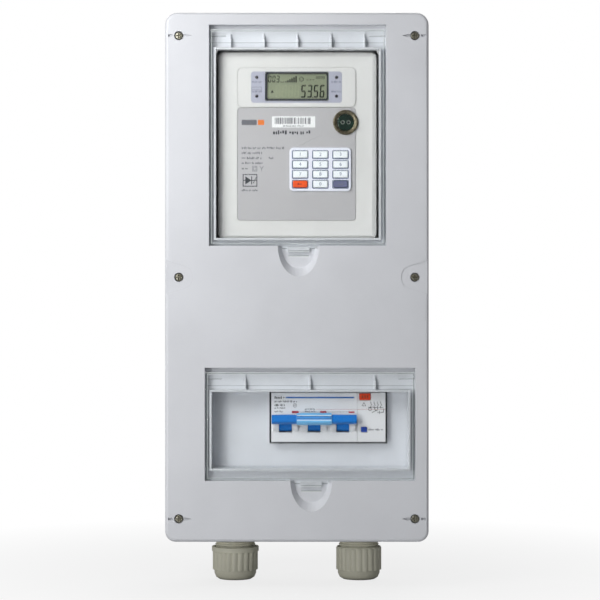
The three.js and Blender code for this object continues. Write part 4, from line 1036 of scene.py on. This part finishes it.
PIN_LENGTH = 2.2  # of the hinge pins that stick out beside a window
TAB_DROP = 10.5  # of the finger tab below a window
PANE_BACK = 1.9  # where the lines on a window lie, behind the front of its rim
HINGE_STRIP = 12.4  # from a window's top edge down to the painted shadow line under its hinge ribs
TAB_OFFSET = 1.0  # of the tab to the right of its window's middle
LIP_BACK = 1.0
SHADE_FRAME = 1.3  # how far in from a window's edge the dark line of painted shade runs
# how far in from a window's edge the bright line of painted highlight runs
SHINE_FRAME = 1.9


def window_lines(name):
    """Painted shade and painted highlight: thin dark and bright lines along the moulded edges of a clear
    window, which swing with it.
    """
    low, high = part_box(name)
    half = (high.x - low.x) / 2 / MM - PIN_LENGTH
    height = (high.z - low.z) / MM - TAB_DROP
    corner = Vector(((low.x + high.x) / 2, low.y, low.z + TAB_DROP * MM))
    behind_pane = corner + Vector((0, PANE_BACK * MM, 0))

    def frame_line(margin, width):
        return outline_box(-half + margin, half - margin, margin, height - margin, width)

    dark = [frame_line(SHADE_FRAME, 0.35)]
    dark.append(rectangle(-half + 2, half - 2, height - HINGE_STRIP, height - HINGE_STRIP + 0.3))
    mark(f"{name}_edge_shades", dark, behind_pane, EDGE_SHADE_PAINT, name)
    bright = [frame_line(SHINE_FRAME, 0.3)]
    bright.append(rectangle(-half + 0.4, half - 0.4, height - 0.8, height - 0.3))
    mark(f"{name}_edge_shines", bright, behind_pane, EDGE_SHINE_PAINT, name)


# lines of painted shade, then of painted highlight, on a window's finger tab
TAB_SHADES = (
    (-9.6, 9.6, -5.0, -4.6),
    (-9.2, 9.2, -9.7, -9.3),
    (-15.0, -10.2, -3.0, -2.6),
    (10.2, 15.0, -3.0, -2.6),
)
TAB_SHINES = ((-9.0, 9.0, -5.7, -5.2), (-9.0, 9.0, -10.4, -9.8))


def latch_lines(name):
    """Painted shade and painted highlight lines that stand for the crisp edges of the finger tab under a
    window.
    """
    low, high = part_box(name)
    middle = (low.x + high.x) / 2 + TAB_OFFSET * MM
    tab = Vector((middle, low.y, low.z + TAB_DROP * MM))
    lip = tab + Vector((0, LIP_BACK * MM, 0))
    for kind, boxes, look in (("shades", TAB_SHADES, EDGE_SHADE_PAINT), ("shines", TAB_SHINES, EDGE_SHINE_PAINT)):
        mark(f"{name}_tab_{kind}", [rectangle(*box) for box in boxes], lip, look, name)


def button_marks():
    low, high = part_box("test_button")
    half = (high.x - low.x) / 2 / MM
    face = front_centre("test_button")
    bars = [rectangle(x, x + 1.2, -1.3, 1.3) for x in (-half + 2.0, -0.6, half - 3.2)]
    look = printed("test_button_ink", rgb(158, 60, 24))
    mark("test_button_mark", bars, face, look, "test_button")
    face = front_centre("reset_button")
    mark("reset_button_mark", [hoop(0, 0, 1.0, 0.4)], face, INK_NAVY, "reset_button")


# ---------------------------------------------------------------- light, floor and camera


LAMPS = (  # name, place, aim and size in metres, and watts
    ("key_light", (-0.38, -0.6, 0.33), (0, -0.1, 0.08), (0.4, 0.4), 3.05),
    ("front_light", (-0.9, -1.5, -0.2), (0, -0.1, -0.2), (0.4, 0.12), 6.2),
    ("rear_light", (0.6, 2.2, 1.6), (0, 0, 0), (1.8, 1.2), 26),
)
WORLD_LIGHT = 0.18
BACKDROP = 1.0  # brightness of the backdrop where the camera sees it


def area_light(name, place, aim, size, power):
    data = bpy.data.lights.new(name, "AREA")
    data.shape = "RECTANGLE"
    data.size, data.size_y = size
    data.energy = power
    lamp = bpy.data.objects.new(name, data)
    lamp.location = place
    lamp.rotation_euler = (Vector(aim) - Vector(place)).to_track_quat("-Z", "Y").to_euler()
    bpy.context.scene.collection.objects.link(lamp)


def studio():
    scene = bpy.context.scene
    for lamp in LAMPS:
        area_light(*lamp)
    world = bpy.data.worlds.new("studio")
    world.use_nodes = True
    tree = world.node_tree
    backdrop = tree.nodes["Background"]
    backdrop.inputs["Color"].default_value = (1, 1, 1, 1)
    path = tree.nodes.new("ShaderNodeLightPath")
    level = tree.nodes.new("ShaderNodeMapRange")
    level.inputs["To Min"].default_value = WORLD_LIGHT
    level.inputs["To Max"].default_value = BACKDROP
    tree.links.new(path.outputs["Is Camera Ray"], level.inputs["Value"])
    tree.links.new(level.outputs["Result"], backdrop.inputs["Strength"])
    scene.world = world
    scene.view_settings.view_transform = "Standard"


FADE_FROM, FADE_TO = 0.3, 0.6  # metres from the object between which the floor turns to backdrop
FADE_START, FADE_FULL = 0.8, 1.0  # how much of the glow shows at each
FLOOR_HALF = 6.0
FLOOR_GAP = 0.0005  # between the object's lowest point and the floor


def floor_look():
    """Matt white that fades, away from the object, into the same bright white as the backdrop."""
    s = Shader("floor_white")
    patch = s.remap(s.noise(400, 3), 0.0, 1.0)
    distance = s.add("ShaderNodeVectorMath", {0: s.place}, operation="LENGTH").outputs["Value"]
    away = s.remap(distance, FADE_START, FADE_FULL, FADE_FROM, FADE_TO)
    seen = s.product(away, s.add("ShaderNodeLightPath").outputs["Is Camera Ray"])
    s.set(
        Base_Color=s.mixed(patch, rgb(196, 196, 196), rgb(200, 200, 200)),
        Roughness=s.remap(s.noise(40, 3), 0.75, 0.9),
        Normal=s.raised(s.noise(2, 2), 0.01),
    )
    glow = s.add("ShaderNodeEmission", {"Color": (1, 1, 1, 1), "Strength": BACKDROP})
    both = s.add("ShaderNodeMixShader", {0: seen, 1: s.surface.outputs[0], 2: glow.outputs[0]})
    s.tree.links.new(both.outputs[0], s.tree.nodes["Material Output"].inputs["Surface"])
    return s.material


def floor():
    height = CAD_BOX[0][2] - FLOOR_GAP
    signs = ((-1, -1), (1, -1), (1, 1), (-1, 1))
    corners = [(x * FLOOR_HALF, y * FLOOR_HALF, height) for x, y in signs]
    mesh = bpy.data.meshes.new("floor")
    mesh.from_pydata(corners, [], [(0, 1, 2, 3)])
    mesh.materials.append(floor_look())
    ground = bpy.data.objects.new("floor", mesh)
    bpy.context.scene.collection.objects.link(ground)


CAMERA_PLACE = (0.0028, -2.03, -0.0206)  # square to the front, a little right of and below the middle
CAMERA_LENS = 125.8
SENSOR_WIDTH = 36


def camera():
    data = bpy.data.cameras.new("camera")
    data.sensor_width = SENSOR_WIDTH
    data.lens = CAMERA_LENS
    view = bpy.data.objects.new("camera", data)
    view.location = CAMERA_PLACE
    view.rotation_euler = (math.radians(90), 0, 0)
    bpy.context.scene.collection.objects.link(view)
    bpy.context.scene.camera = view


# ---------------------------------------------------------------- build


def build():
    rng = random.Random(SEED)
    finish_all_nodes()
    display_marks(rng)
    lcd_marks()
    label_marks(rng)
    keypad_marks()
    port_emitters()
    breaker_marks(rng)
    tie_bands()
    button_marks()
    for window in ("upper_window", "lower_window"):
        window_lines(window)
        latch_lines(window)
    floor()
    studio()
    camera()


build()
